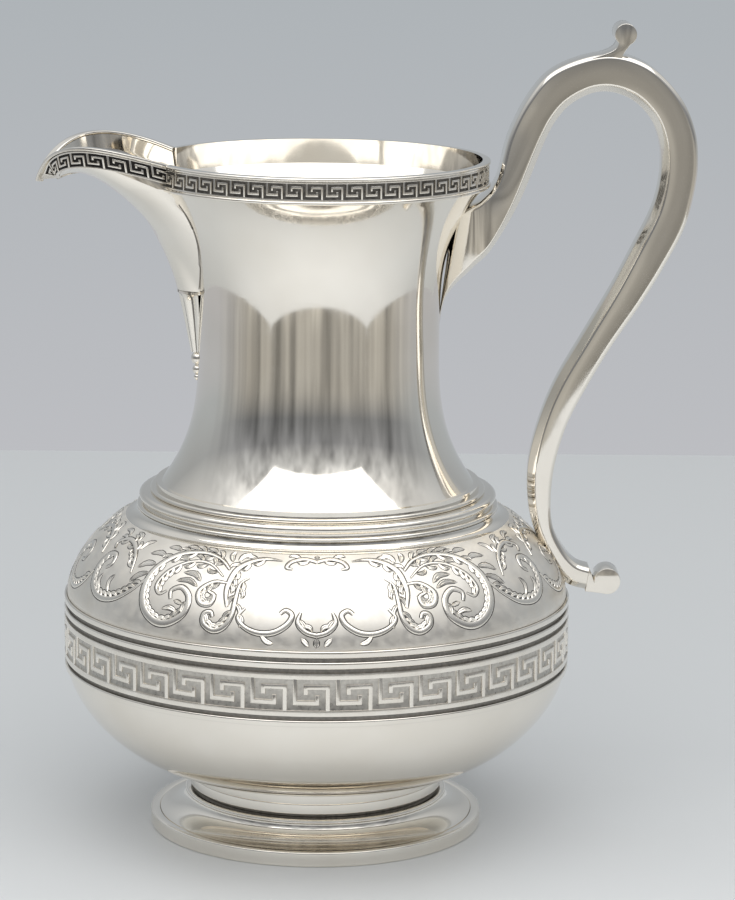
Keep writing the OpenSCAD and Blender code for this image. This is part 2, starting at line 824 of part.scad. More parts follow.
// Handle: rows along its run, each with the outer and the inner edge in side view and the half width.
// Row: outer x, outer z, inner x, inner z and half width, as shares of overhang, rise and half of the width.
// Root rows start from the neck's waist and the rim.
root_shares = [
    [-0.02, -0.56, -0.02, -1.31, 0.2],
    [0.09, -0.41, 0.05, -1.01, 0.65],
    [0.22, -0.34, 0.26, -0.79, 1.1],
    [0.33, -0.28, 0.42, -0.64, 1.2],
    [0.45, -0.14, 0.64, -0.3, 1.1]
];
// Arch rows start from the belly wall and the rim
arch_shares = [
    [-0.545, 0.18, -0.24, 0.16, 1],
    [-0.39, 0.46, -0.125, 0.335, 1],
    [-0.2, 0.635, -0.01, 0.435, 1],
    [0.1, 0.735, 0.15, 0.51, 1],
    [0.36, 0.745, 0.31, 0.51, 1],
    [0.62, 0.66, 0.48, 0.44, 1],
    [0.85, 0.465, 0.62, 0.295, 1],
    [0.97, 0.23, 0.69, 0.13, 1],
    [1, 0, 0.705, -0.04, 1],
    [0.975, -0.22, 0.68, -0.22, 1],
    [0.9, -0.48, 0.62, -0.39, 1]
];
// Leg rows start from the belly wall, with heights as shares of the way from shoulder to rim
leg_shares = [
    [0.745, 0.765, 0.48, 0.8, 1],
    [0.565, 0.68, 0.32, 0.713, 0.97],
    [0.32, 0.577, 0.095, 0.605, 0.93],
    [0.115, 0.478, -0.12, 0.5, 0.9],
    [-0.03, 0.395, -0.25, 0.411, 0.87],
    [-0.12, 0.306, -0.335, 0.313, 0.84],
    [-0.148, 0.225, -0.338, 0.227, 0.8]
];
// Tail rows start from the shoulder's own face at their height, with heights as shares of the shoulder
tail_shares = [
    [0.216, 0.877, 0.058, 0.85, 0.78],
    [0.07, 0.592, -0.05, 0.45, 0.76],
    [0.085, 0.41, 0.005, 0.142, 0.74],
    [0.186, 0.346, 0.158, 0.05, 0.72]
];
half_w = handle_w / 2;
function placed(row, x0, dx, z0, dz) =
    [x0 + row[0] * dx, z0 + row[1] * dz, x0 + row[2] * dx, z0 + row[3] * dz, row[4] * half_w];
handle_rows = concat(
    [for (r = root_shares) placed(r, neck_waist_r, handle_overhang, rim_z, handle_rise)],
    [for (r = arch_shares) placed(r, belly_r, handle_overhang, rim_z, handle_rise)],
    [for (r = leg_shares) placed(r, belly_r, handle_overhang, shoulder_z, rim_z - shoulder_z)],
    [for (r = tail_shares)
        placed(r, shoulder_r_at(shoulder_z + r[3] * shoulder_h), handle_overhang, shoulder_z, shoulder_h)]
);

// Smooth curve through rows of numbers
function through(a, b, c, d, t) =
    0.5 * (2 * b + (c - a) * t + (2 * a - 5 * b + 4 * c - d) * t * t + (3 * b - a - 3 * c + d) * t * t * t);
function smooth_rows(rows, steps) = [
    for (i = [0:len(rows) - 2], k = [0:i == len(rows) - 2 ? steps : steps - 1])
        through(rows[max(i - 1, 0)], rows[i], rows[i + 1], rows[min(i + 2, len(rows) - 1)], k / steps)
];
handle_run = smooth_rows(handle_rows, handle_steps);
// Most that a chamfer takes of a slim section
most_chamfer_share = 0.6;

// Half of the handle's eight-sided section, from the inner edge to the outer edge, drawn in by a depth
function half_section(row, depth) =
    let (
        inner = [row[2], row[3]],
        across = [row[0], row[1]] - inner,
        t = norm(across) - 2 * depth,
        w = row[4] - depth,
        cut_w = min(handle_inner_chamfer_w, most_chamfer_share * w),
        cut_in = min(handle_inner_chamfer, most_chamfer_share * t / 2),
        cut_out = min(handle_outer_chamfer, most_chamfer_share * w),
        n = unit(across)
    )
    [for (q = [[0, 0], [0, w - cut_w], [cut_in, w], [t - cut_out, w], [t, w - cut_out], [t, 0]])
        let (p = inner + n * (q[0] + depth))
        [p[0], q[1], p[1]]];

module handle_half() {
    difference() {
        net_sheet(
            [for (row = handle_run) half_section(row, 0)],
            [for (row = handle_run) half_section(row, handle_wall)]
        );
        neck_core(neck_top_z);
        rotate_extrude() polygon(concat([[0, seam_z]], shoulder_wall, [[0, collar_z]]));
    }
}

module handle_right_half() { color(polished) handle_half(); }

module handle_left_half() { color(polished) mirror([0, 1, 0]) handle_half(); }

// Filled shape of the whole handle, to trim the thumb scroll
module handle_core() {
    rows = [for (row = handle_run)
        let (half = half_section(row, 0))
        concat(half, [for (p = reversed(half)) if (p[1] > 0) mirrored(p, -1)])];
    columns = len(rows[0]);
    count = len(rows);
    polyhedron(
        points = [for (row = rows) each row],
        faces = concat(
            [for (i = [0:count - 2], j = [0:columns - 1])
                let (a = i * columns, k = (j + 1) % columns)
                each [[a + j, a + columns + j, a + k], [a + k, a + columns + j, a + columns + k]]],
            [for (j = [1:columns - 2]) [0, j, j + 1]],
            [for (j = [1:columns - 2]) let (a = (count - 1) * columns) [a, a + j + 1, a + j]]
        )
    );
}

// Thumb scroll in side view: the stem as shares of its height, from the notch where it leaves the arch
thumb_notch = handle_rows[len(root_shares) + 4];
thumb_h = rim_z + handle_rise - thumb_notch[1];
thumb_stem_shares = [
    [-1, -0.16], [-0.65, 0.01], [-0.4, 0.1], [-0.22, 0.22], [-0.14, 0.36], [-0.12, 0.48],
    [0.36, 0.47], [0.22, 0.2], [0, 0], [0, -0.3]
];
thumb_knob_share = 0.1;

// Outline in side view, drawn out to both sides of the handle's middle
module across(w) {
    translate([0, w / 2, 0])
        rotate([90, 0, 0])
            linear_extrude(w)
                children();
}

module handle_thumb_scroll() {
    color(polished)
        difference() {
            translate([thumb_notch[0], 0, thumb_notch[1]]) {
                across(thumb_w) polygon(thumb_stem_shares * thumb_h);
                across(thumb_w)
                    translate([thumb_knob_share * thumb_h, thumb_h - thumb_knob_r])
                        circle(thumb_knob_r);
            }
            handle_core();
        }
}

// Tail scroll in side view: it starts at the handle's end face and rolls up
tail_end = last(handle_rows);
tail_outer = [tail_end[0], tail_end[1]];
tail_inner = [tail_end[2], tail_end[3]];
tail_across = tail_outer - tail_inner;
tail_along = [tail_across[1], -tail_across[0]];
// Centre of the knob and the notch before it, as shares of the end face's length along and across the tail
tail_knob_shares = [0.85, 0.56];
tail_notch_shares = [0.16, 0.75];
function tail_point(shares) = tail_inner + tail_along * shares[0] + tail_across * shares[1];

module handle_tail_scroll() {
    knob = tail_point(tail_knob_shares);
    under = knob - unit(tail_across) * tail_knob_r;
    color(polished) {
        across(tail_w) polygon([tail_inner, under, knob, tail_point(tail_notch_shares), tail_outer]);
        across(tail_w) translate(knob) circle(tail_knob_r);
    }
}

foot_rim();
foot_dome();
foot_bead();
foot_collar_lower();
foot_collar_upper();
lower_bowl();
shoulder_shell();
belly_lower_reed();
belly_key_band();
belly_middle_reed();
belly_upper_reed();
collar_cove();
collar_roll();
collar_upper_bead();
neck_shell();
rim_lower_wire();
rim_key_band();
rim_lip_wire();
spout_shell();
spout_band_left();
spout_band_right();
spout_lip_wire();
spout_drop();
spout_drop_beads();
handle_left_half();
handle_right_half();
handle_thumb_scroll();
handle_tail_scroll();
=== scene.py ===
"""Silver ewer: the smooth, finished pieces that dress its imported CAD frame, laid out as an add-on."""

import math
from bisect import bisect_right
from functools import cache

import bmesh
import bpy
from bpy.props import FloatProperty, FloatVectorProperty, IntProperty, PointerProperty
from mathutils import Matrix, Vector


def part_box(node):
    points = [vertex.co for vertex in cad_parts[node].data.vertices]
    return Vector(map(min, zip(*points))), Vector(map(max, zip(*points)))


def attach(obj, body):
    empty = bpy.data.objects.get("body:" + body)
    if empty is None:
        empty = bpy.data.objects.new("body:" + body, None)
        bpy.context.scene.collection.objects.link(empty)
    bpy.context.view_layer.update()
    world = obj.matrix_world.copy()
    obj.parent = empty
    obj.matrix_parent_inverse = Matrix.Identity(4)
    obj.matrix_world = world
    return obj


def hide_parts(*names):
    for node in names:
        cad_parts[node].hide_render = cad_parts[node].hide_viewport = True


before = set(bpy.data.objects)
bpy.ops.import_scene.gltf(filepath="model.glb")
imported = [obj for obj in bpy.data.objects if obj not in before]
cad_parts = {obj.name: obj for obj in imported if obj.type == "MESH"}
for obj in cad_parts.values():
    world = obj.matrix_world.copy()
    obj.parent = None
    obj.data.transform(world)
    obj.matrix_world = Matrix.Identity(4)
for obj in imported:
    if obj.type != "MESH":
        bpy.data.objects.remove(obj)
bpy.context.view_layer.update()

bl_info = {
    "name": "Silver ewer",
    "version": (1, 0, 0),
    "blender": (4, 5, 0),
    "location": "View3D > Sidebar > Ewer",
    "description": "Builds a silver ewer with key bands, a chased shoulder, a spout and a scroll handle",
    "category": "Object",
}

TURN = math.tau
QUARTER = math.pi / 2
MM = 0.001
# Vertices closer than this are one
SEAM = 0.000002
# Edges that turn by more than this stay crisp
CRISP = math.radians(34)
# Steps round a plain ring, over a half-round wire and a knob, and up or along the curved walls
ROUND_STEPS = 240
WIRE_STEPS = 10
KNOB_STEPS = 32
FOOT_STEPS, BOWL_STEPS, SHOULDER_STEPS, COVE_STEPS, NECK_STEPS = 24, 48, 44, 12, 72
LIP_STEPS, BAND_STEPS, SOLDER_STEPS, DROP_STEPS, HANDLE_STEPS = 120, 96, 60, 24, 10
# Steps of the spout's sheet from seam to edge, and from root to root
SHEET_STEPS = (40, 120)

# Foot: depth and height of the recess between bead and collar
FOOT_RECESS = 3.2 * MM
FOOT_RECESS_H = 1.3 * MM
# Bowl wall: shares of the run from its flat base to the belly, and of its height
BOWL_SHARES = [(0, 0), (0.5, 0), (0.96, 0.6), (1, 1)]
# Shoulder wall: end of the oval's quarter turn, and its fullness
SHOULDER_END = math.radians(63)
SHOULDER_POWER = 1.2
# Collar: height of the cove's bead, steps of cove and bead beyond the roll, groove under the roll, slim bead
COVE_BEAD_H = 1.7 * MM
COVE_STEP = 0.35 * MM
ROLL_GROOVE = 1.4 * MM
ROLL_GROOVE_H = 0.9 * MM
SLIM_BEAD_H = 1.5 * MM
# Neck wall: height of its waist as a share, and the powers of the flares below and above it
NECK_WAIST_SHARE = 0.48
NECK_POWERS = (3, 3.3)

# One hook of the key pattern: shares of the pitch, of the field from its top, and the middle of two hooks
HOOK_U = (0, 0.11, 0.51, 0.62)
HOOK_V = (0, 0.5, 0.67, 0.83)
HOOK_MIDDLE = 0.435
# Hooks start inside the ground and end just under the rails' face, as shares of the ground's thickness
HOOK_FOOT = 0.75
HOOK_LESS = 0.8
# Brim of a hook: largest rounding as a share of the pitch, and the turn from which an edge belongs to it
HOOK_EASE = 0.025
HOOK_BRIM = math.radians(60)
# Faces are ground from this share of its thickness to this share of the way up to the rails' face
GROUND_FROM = 0.9
GROUND_TO = 0.6

# Spout: tip below the lip, seam below the rim's wire, toe in front of the neck, seam inside the neck's face
TIP_DROP = 7.3 * MM
SEAM_DROP = 3.65 * MM
TOE_OUT = 6.3 * MM
SEAM_SINK = 0.6 * MM
# Handles of the curve along the edge: from the tip, and from the root with a share of the run
TIP_HANDLE = Vector((4.8, 13, 15.5)) * MM
ROOT_HANDLE = Vector((0, 12, 8.2)) * MM
ROOT_HANDLE_RUN = 0.57
# Seam: part of each side that runs round the toe, swing of the rest, and spread over which it is evened
TOE_SHARE = 0.25
SEAM_SWING = math.radians(5)
SEAM_BESIDE = (-0.1, -0.05, 0, 0.05, 0.1)
# Sheet: handles over the toe and behind the tip, as shares of run and depth
OVER_TOE = (-0.1, 0.38)
BEHIND_TIP = (0.43, 0.26)
# Beside the tip the sheet stands up under its edge; at the roots it swings out with the neck's flare
STAND = Vector((0.3, 0, -1))
STAND_MOST = 8 * MM
STAND_POWER = 5
FLARE_SWING = 1.85
FLARE_POWER = 8
# Upright edge that carries the key band: its part of the sheet, and its way down at the tip and beside it
FLANGE_SHARE = 2 / 9
FLANGE_TIP = Vector((1, 0, 0.1))
FLANGE_SIDE = Vector((0.15, 0, -1))
FLANGE_POWER = 30
# Key band's start beside the tip, steps that measure its length, and step that measures the edge's slope
BAND_START = 0.07
BAND_MEASURES = 80
EDGE_STEP = 0.02
# Rounds of evening between seam and upright edge
EVEN_ROUNDS = 20
# Solder line: radius, part of each side that it follows, and steps up the sheet in search of it
SOLDER_R = 0.25 * MM
SOLDER_FROM, SOLDER_TO = 0.26, 0.97
SOLDER_SEARCH = 120
# Drop under the spout's toe: stand-out and half width at its end, fullness, and depth of its flutes
DROP_END_OUT = 2.3 * MM
DROP_END_HALF_W = 1.9 * MM
DROP_POWER = 0.9
FLUTE_DEPTH = 0.18
FLUTE_RUN_IN = 12
FLUTES = 4
FLUTE_STEPS = 12
# Ledge round the toe: share of the drop, millimetres up, and stand-out
LEDGE_ROWS = [(0, 0.9, 1), (0, 0.8, 1.04), (0, 0.1, 1.04), (0, 0, 1)]
# Beads under the drop: radius of the largest, then radius and depth of each as shares of it
BEAD_R = 2.3 * MM
BEADS = [(1, 0.9), (0.75, 2.5), (0.5, 3.6)]

# Handle rows: outer x, outer z, inner x, inner z and half width, as shares of overhang, rise and half width.
# Root rows start from the neck's waist and the rim, arch rows from the belly wall and the rim.
ROOT_ROWS = [
    (-0.02, -0.56, -0.02, -1.31, 0.2),
    (0.09, -0.41, 0.05, -1.01, 0.65),
    (0.22, -0.34, 0.26, -0.79, 1.1),
    (0.33, -0.28, 0.42, -0.64, 1.2),
    (0.45, -0.14, 0.64, -0.3, 1.1),
]
ARCH_ROWS = [
    (-0.545, 0.18, -0.24, 0.16, 1),
    (-0.39, 0.46, -0.125, 0.335, 1),
    (-0.2, 0.65, -0.01, 0.43, 1),
    (0.1, 0.76, 0.15, 0.495, 1),
    (0.36, 0.77, 0.31, 0.495, 1),
    (0.62, 0.675, 0.48, 0.43, 1),
    (0.85, 0.465, 0.62, 0.295, 1),
    (0.97, 0.23, 0.69, 0.13, 1),
    (1, 0, 0.705, -0.04, 1),
    (0.975, -0.22, 0.68, -0.22, 1),
    (0.9, -0.48, 0.62, -0.39, 1),
]
# Leg rows start from the belly wall, with heights as shares of the way from shoulder to rim
LEG_ROWS = [
    (0.745, 0.765, 0.48, 0.8, 1),
    (0.565, 0.68, 0.32, 0.713, 0.97),
    (0.32, 0.577, 0.095, 0.605, 0.93),
    (0.115, 0.478, -0.12, 0.5, 0.9),
    (-0.03, 0.395, -0.25, 0.411, 0.87),
    (-0.12, 0.306, -0.335, 0.313, 0.84),
    (-0.148, 0.225, -0.338, 0.227, 0.8),
]
# Tail rows start from the shoulder's face at their height, with heights as shares of the shoulder
TAIL_ROWS = [
    (0.216, 0.877, 0.058, 0.85, 0.78),
    (0.07, 0.592, -0.05, 0.45, 0.76),
    (0.085, 0.41, 0.005, 0.142, 0.74),
    (0.186, 0.346, 0.158, 0.05, 0.72),
]
# Eight-sided section: cuts at inner and outer corners, and their largest shares of width and thickness
CUT_W = 4 * MM
CUT_IN = 2.4 * MM
CUT_OUT = 1 * MM
CUT_W_MOST = 0.6
CUT_IN_MOST = 0.3
# Thumb scroll in side view, as shares of its height from the notch where it leaves the arch
THUMB_LEFT = [(-1.15, -0.16), (-0.8, -0.04), (-0.4, 0.1), (-0.23, 0.2), (-0.15, 0.3)]
THUMB_RIGHT = [(0.1, 0.16), (0, 0), (0, -0.3)]
THUMB_KNOB = 0.1
THUMB_KNOB_R = 3.5 * MM
THUMB_TURN = (231, -65)
THUMB_W = 14.6 * MM
# Arch row with that notch, and points between those of the scroll
THUMB_ROW = 4
THUMB_STEPS = 4
# Tail scroll: knob and notch as shares along and across the tail's end, turn in degrees from its lean
TAIL_KNOB = (0.85, 0.56)
TAIL_NOTCH = (0.16, 0.75)
TAIL_KNOB_R = 4.3 * MM
TAIL_TURN = (100, -190)
TAIL_W = 10.8 * MM

# Chased work on a quarter of the shoulder, from the middle of the front to the side: points as degrees round
# and millimetres up the wall, then the half width in millimetres at the stroke's start, middle and end.
SCROLLS = [
    # Frame of the plain cartouche
    ([(9.5, 30.5), (14, 31), (18, 29.5), (21, 26), (22, 21), (22, 17), (21, 12.5)], (0.2, 0.88, 0.34)),
    ([(17, 23), (19, 20.5), (19.3, 15), (19.5, 10), (21, 6), (23.5, 4.6), (26, 6.5), (26.2, 9.5),
      (24.7, 10.3), (24, 8.8)], (0.2, 0.82, 0.48)),
    ([(16.5, 12.6), (18, 9.5), (16.2, 6.6), (13, 5), (9.5, 5.4), (6.6, 8), (5.6, 11), (7, 12.6), (8.3, 11.4)],
     (0.27, 0.82, 0.41)),
    ([(3.6, 12), (4.2, 8.6), (2.4, 5.8), (0, 4.8)], (0.27, 0.68, 0.68)),
    ([(0, 30.4), (3.5, 31.6), (7, 30.2), (8, 27.8), (6.4, 27.2)], (0.61, 0.61, 0.27)),
    # Volute between cartouche and side scroll
    ([(22.5, 20.5), (26, 20.4), (29, 16.8), (28, 13), (25.4, 12.7), (24.8, 15.6), (26.6, 17)],
     (0.27, 0.75, 0.34)),
    # Large side scroll and its inner line
    ([(23, 25.5), (27, 29.5), (33, 31), (40, 28.6), (44.6, 22), (45.2, 15), (43, 8.4), (39, 4.8), (35, 5),
      (31.4, 8.8), (31.2, 14), (34, 17), (36.6, 15.4), (36, 12.6)], (0.34, 1.16, 0.41)),
    ([(24, 22.6), (29, 26.8), (35, 26.6), (40, 22), (41.6, 16.4), (39.8, 13.6), (37.8, 15)],
     (0.2, 0.54, 0.27)),
    # Outward scroll and the volute that answers it
    ([(45.6, 17.5), (49, 12.4), (54, 8.2), (60, 7.2), (65, 10), (67.4, 16), (66.2, 20.8), (62.8, 21.6),
      (61.6, 18.4), (63.2, 16.6)], (0.27, 1.09, 0.41)),
    ([(52, 17.8), (54.5, 23.6), (59, 27.6), (64, 28.6), (67.4, 25.8), (66, 23.6)], (0.27, 0.82, 0.34)),
    # Side scroll that meets its neighbour under handle and spout
    ([(68, 14), (71, 8.6), (76, 5.6), (82, 6.2), (86, 10.6), (86.4, 16.6), (83, 20), (79, 18.4), (79, 14.6),
      (81.4, 13.8)], (0.27, 1.02, 0.41)),
    ([(70.6, 20), (74, 25.6), (80, 28.6), (86, 27), (90, 23)], (0.27, 0.88, 0.54)),
]
# Leaves: half width in millimetres at the middle, then points as above; both ends have the same half width
LEAF_END = 0.1
LEAVES = [
    (0.9, [(0, 0.9), (0, 3.9)]),
    (0.7, [(1.6, 1.4), (3.4, 4)]),
    (0.7, [(12.4, 4.6), (11, 2.6), (9.4, 2)]),
    (0.9, [(21.4, 29), (20.6, 31.6), (18.4, 32.8)]),
    (0.8, [(23, 28.6), (24, 31.4), (23.4, 33)]),
    (0.6, [(0, 31.6), (0, 33.2)]),
    (0.6, [(29, 31.6), (30.4, 32.8), (33, 33)]),
    (0.7, [(35, 31.6), (37, 32.6), (39.6, 32.4)]),
    (0.8, [(40.4, 30), (42.8, 31), (45.4, 30.4)]),
    (0.9, [(44, 26.6), (46.8, 27.6), (50, 26.4)]),
    (1, [(45.4, 23), (48.6, 22.8), (51, 20.4)]),
    (0.9, [(46, 19.6), (49, 18), (51, 15)]),
    (0.7, [(33, 8.6), (35.4, 9.8), (37.6, 9)]),
    (0.6, [(32.4, 11.6), (35, 12.4)]),
    (0.9, [(29.6, 20), (32, 22.4), (35.4, 22.2)]),
    (0.8, [(30, 18), (33, 19.8), (36.4, 19)]),
    (0.9, [(57, 9.8), (58.4, 12.8), (57.4, 15.6)]),
    (0.8, [(61, 9.6), (63, 12), (62.6, 14.6)]),
    (0.9, [(55, 26.4), (54.4, 29.6), (52, 31.4)]),
    (0.8, [(59, 29.4), (60, 31.6), (63, 32.4)]),
    (0.8, [(65.4, 30), (67.6, 31.6), (70.4, 31.2)]),
    (1.2, [(90, 1.6), (90, 6), (90, 10)]),
    (0.8, [(88, 3), (87.4, 7)]),
    (0.8, [(75, 28.6), (76, 31.2), (79, 32.2)]),
    (0.8, [(83.6, 30), (86, 31.8)]),
    (1.2, [(90, 25), (90, 32)]),
]
# Half sections of the chased strokes, from the dark line beside a stroke to its middle: share of the half
# width, line widths beyond it, and share of the height
SCROLL_SECTION = [(1, 1, -0.2), (1, 0.95, 0.06), (1, 0, 0.06), (0.9, 0, 0.5), (0.55, 0, 1), (0, 0, 1)]
LEAF_SECTION = [(1, 1, -0.2), (1, 0.9, 0.06), (1, 0, 0.06), (0.5, 0, 0.9), (0, 0, 0.3)]
SCROLL_STEPS = 5
LEAF_STEPS = 3
# Strokes narrower than this have thinner lines too
LINE_FULL_W = 0.5 * MM
# Lobe of a leaf beside a scroll: millimetres out from the scroll and along it, and half widths
LOBE = [(0.3, -0.5), (1.5, 0.5), (2.2, 1.9), (1.8, 3.2)]
LOBE_WIDTHS = (0.2, 0.62, 0.12)
# Lobes: points between those of a scroll, distance apart, part of the scroll that has them, and level from
# which every other one crowns it
LOBE_POINTS = 6
LOBE_STEP = 2.2 * MM
LOBE_PART = 0.7
LOBE_CROWN = 24 * MM
# Field that lobes end in and plain cartouche that they keep clear of: degrees round, then millimetres up
LOBE_FIELD = (-1, 90, 0.8, 33)
CARTOUCHE = (17, 6, 30)

# Silver left dark by the polisher and darkened further with painted shade: its colour, how much lighter its
# worn spots are, and its roughness
MATT_SILVERS = {
    # Lines beside the scrolls, nearly black: oxide with painted shade of the chased grooves, so that the
    # chasing reads as drawn
    "chased_line": ("line", 1.8, 0.4),
    # Tarnish in the grooves, with painted shade between the girdle's reeds, under the foot's collar band and
    # in the spout's flutes, which sets the rings and the soldered sheets apart
    "groove_tarnish": ("groove", 1.6, 0.35),
    # Grounds behind the keys, oxidised matt with painted shade in the recess: soft grey at the belly, dark at
    # the rim, black at the spout
    "belly_ground": ("belly_ground", 1.4, 0.32),
    "rim_ground": ("rim_ground", 2.5, 0.5),
    "spout_ground": ("spout_ground", 2.5, 0.55),
}

# Camera: lens and sensor in millimetres, turn that sets the jug left of the middle, pitch and slight roll
LENS, SENSOR = 150.4, 36
CAMERA_TURN = math.radians(-0.77)
CAMERA_PITCH = math.radians(90 - 11.29)
CAMERA_ROLL = math.radians(0.57)
# Tones of the room from floor to ceiling, behind the jug and in front of it
BACKDROP_TONES = [(0, "#C4C6C8"), (0.4, "#BDBEC2"), (0.46, "#AFB4B8"), (0.62, "#A6AAAE"), (0.8, "#D8DADC")]
ROOM_TONES = [
    (0, "#8C8A86"), (0.36, "#AFACA5"), (0.45, "#A19F9A"), (0.53, "#75777A"), (0.64, "#84868A"),
    (0.76, "#C9CBCD"), (0.88, "#FAFAFA"),
]


@cache
def cad_box(node):
    """Lowest and highest corner of a CAD node, measured once."""
    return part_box(node)


def outer(node):
    """Outer radius, lower level and upper level of a round CAD node."""
    low, high = cad_box(node)
    return high.x, low.z, high.z


# Properties


def length(name, description, default):
    return FloatProperty(name=name, description=description, default=default, min=0, unit="LENGTH")


def angle(name, description, degrees):
    return FloatProperty(name=name, description=description, default=math.radians(degrees), subtype="ANGLE")


def number(name, description, default):
    return IntProperty(name=name, description=description, default=default, min=3)


def power(name, description, default):
    return FloatProperty(name=name, description=description, default=default, min=0, unit="POWER")


def colour(name, description, default):
    return FloatVectorProperty(
        name=name, description=description, default=default, subtype="COLOR", min=0, max=1
    )


class EwerSizes(bpy.types.PropertyGroup):
    wall: length("Sheet thickness", "Thickness of the sheet silver", 1 * MM)
    ease: length("Edge rounding", "Rounding of edges worn by polishing", 0.3 * MM)
    bowl_base_r: length("Bowl base radius", "Radius of the flat under the bowl", 40 * MM)
    belly_keys: number("Belly keys", "Number of keys round the belly", 39)
    belly_key_turn: angle("Belly key turn", "Turn of the belly keys from the front", 3.6)
    belly_rail_h: length("Belly rail", "Height of the plain rails along the belly band", 1.9 * MM)
    belly_ground_t: length("Belly ground", "Thickness of the belly band behind its keys", 0.45 * MM)
    neck_base_r: length("Neck base radius", "Radius at the neck's lower edge", 51 * MM)
    neck_waist_r: length("Neck waist radius", "Narrowest radius of the neck", 39.2 * MM)
    rim_keys: number("Rim keys", "Number of keys round the rim", 47)
    rim_rail_h: length("Rim rail", "Height of the plain rails along rim and spout bands", 0.55 * MM)
    rim_ground_t: length("Rim ground", "Thickness of rim and spout bands behind their keys", 0.7 * MM)
    spout_half_angle: angle("Spout half angle", "Half of the angle that the spout opens in the rim", 26)
    spout_keys: number("Spout keys", "Number of keys along each side of the spout", 8)
    spout_reach: length("Spout reach", "Distance of the spout's tip from the axis", 90 * MM)
    spout_band_h: length("Spout band", "Height of the key band along the spout", 5.4 * MM)
    handle_w: length("Handle width", "Width of the handle from side to side", 15 * MM)
    chase_lift: length("Chasing height", "Height of the raised scrolls on the shoulder", 0.22 * MM)
    chase_line: length("Chased line", "Width of the dark lines beside the scrolls", 0.32 * MM)


class EwerFinish(bpy.types.PropertyGroup):
    silver: colour("Silver", "Colour of the polished silver", (0.9, 0.862, 0.795))
    tarnish: colour("Tarnish", "Warm film in the hollows of the polish", (0.66, 0.59, 0.48))
    # Chased lines: oxide with painted shade of the chased grooves
    line: colour("Chased lines", "Colour of the dark lines in the chasing", (0.055, 0.052, 0.048))
    # Grooves: tarnish, with painted shade where this colour darkens recesses, reed gaps and flutes
    groove: colour("Grooves", "Tarnish in the grooves beside the reeds", (0.17, 0.16, 0.145))
    # The three key grounds below: oxidised matt silver with painted shade in the recess behind the keys,
    # darkest at rim and spout
    belly_ground: colour("Belly ground", "Matt ground behind the belly keys", (0.44, 0.42, 0.385))
    rim_ground: colour("Rim ground", "Worn dark ground behind the rim keys", (0.085, 0.08, 0.073))
    spout_ground: colour("Spout ground", "Blackened ground behind the spout keys", (0.022, 0.021, 0.02))
    polish: FloatProperty(
        name="Polish roughness", description="Roughness of the mirror polish", default=0.07, min=0, max=1
    )


class EwerStage(bpy.types.PropertyGroup):
    table: colour("Table", "Colour of the pale table in front", (0.72, 0.727, 0.725))
    # Far table: the pale table darkened by painted shade
    far_table_shaded: colour("Far table", "Colour of the pale table behind the jug", (0.54, 0.555, 0.56))
    table_half: length("Table half size", "Half of the table's side", 0.62)
    lamp_power: power("Overhead power", "Power of the large soft lamp overhead", 18)
    fill_power: power("Fill power", "Power of the soft lamp in front", 9)
    camera_distance: length("Camera distance", "Distance of the camera in front of the axis", 1.206)
    camera_height: length("Camera height", "Height of the camera above the table", 0.366)


def settings(context):
    return context.scene.ewer_sizes, context.scene.ewer_finish


# Drawing helpers


def mix(a, b, t):
    return a + (b - a) * t


def spread(low, high, steps):
    """Evenly spaced numbers from one to another."""
    return [mix(low, high, k / steps) for k in range(steps + 1)]


def curve(points, t):
    """Point on a curve with two ends and two handles."""
    a, b, c, d = points
    return a * (1 - t) ** 3 + b * 3 * (1 - t) ** 2 * t + c * 3 * (1 - t) * t * t + d * t**3


def through(points, steps):
    """Smooth run of points through the given ones."""
    run = []
    last = len(points) - 1
    for i in range(last):
        a, b = points[max(i - 1, 0)], points[i]
        c, d = points[i + 1], points[min(i + 2, last)]
        square, cube = a * 2 - b * 5 + c * 4 - d, b * 3 - a - c * 3 + d
        for t in (k / steps for k in range(steps)):
            run.append((b * 2 + (c - a) * t + square * t * t + cube * t**3) * 0.5)
    return run + [points[last].copy()]


def lengths_along(points):
    """Length from the first point of a run to each of its points."""
    lengths = [0.0]
    for a, b in zip(points, points[1:]):
        lengths.append(lengths[-1] + (b - a).length)
    return lengths


def step_at(lengths, target):
    """Step of a run that holds a length, and the share of that step."""
    i = max(1, min(bisect_right(lengths, target), len(lengths) - 1))
    return i, (target - lengths[i - 1]) / (lengths[i] - lengths[i - 1])


def eased(corners, radius, steps=3, ends=True):
    """Outline with its corners rounded; without ends, the first and last points stay as they are."""
    points = [Vector(corner) for corner in corners]
    out = []
    count = len(points)
    for i, point in enumerate(points):
        if not ends and i in (0, count - 1):
            out.append(point)
            continue
        before, after = points[i - 1] - point, points[(i + 1) % count] - point
        a = point + before.normalized() * min(radius, before.length * 0.45)
        b = point + after.normalized() * min(radius, after.length * 0.45)
        for t in spread(0, 1, steps):
            out.append(a * (1 - t) ** 2 + point * 2 * t * (1 - t) + b * t * t)
    return out


def inner_side(points, thickness):
    """Inner side of a wall that is drawn upwards along its outer side."""
    side = []
    for i, point in enumerate(points):
        along = (points[min(i + 1, len(points) - 1)] - points[max(i - 1, 0)]).normalized()
        side.append(point + Vector((-along.y, along.x)) * thickness)
    return side


def half_round(inner_r, outer_r, low, high):
    """Outline of a flat-backed wire with a half-round face."""
    radius = (high - low) / 2
    face = [
        Vector((outer_r - radius + radius * math.cos(a), low + radius + radius * math.sin(a)))
        for a in spread(-QUARTER, QUARTER, WIRE_STEPS)
    ]
    return [Vector((inner_r, low)), *face, Vector((inner_r, high))]


def boxed(inner_r, outer_r, low, high, radius):
    """Outline of a flat ring with rounded edges."""
    return eased([(inner_r, low), (outer_r, low), (outer_r, high), (inner_r, high)], radius)


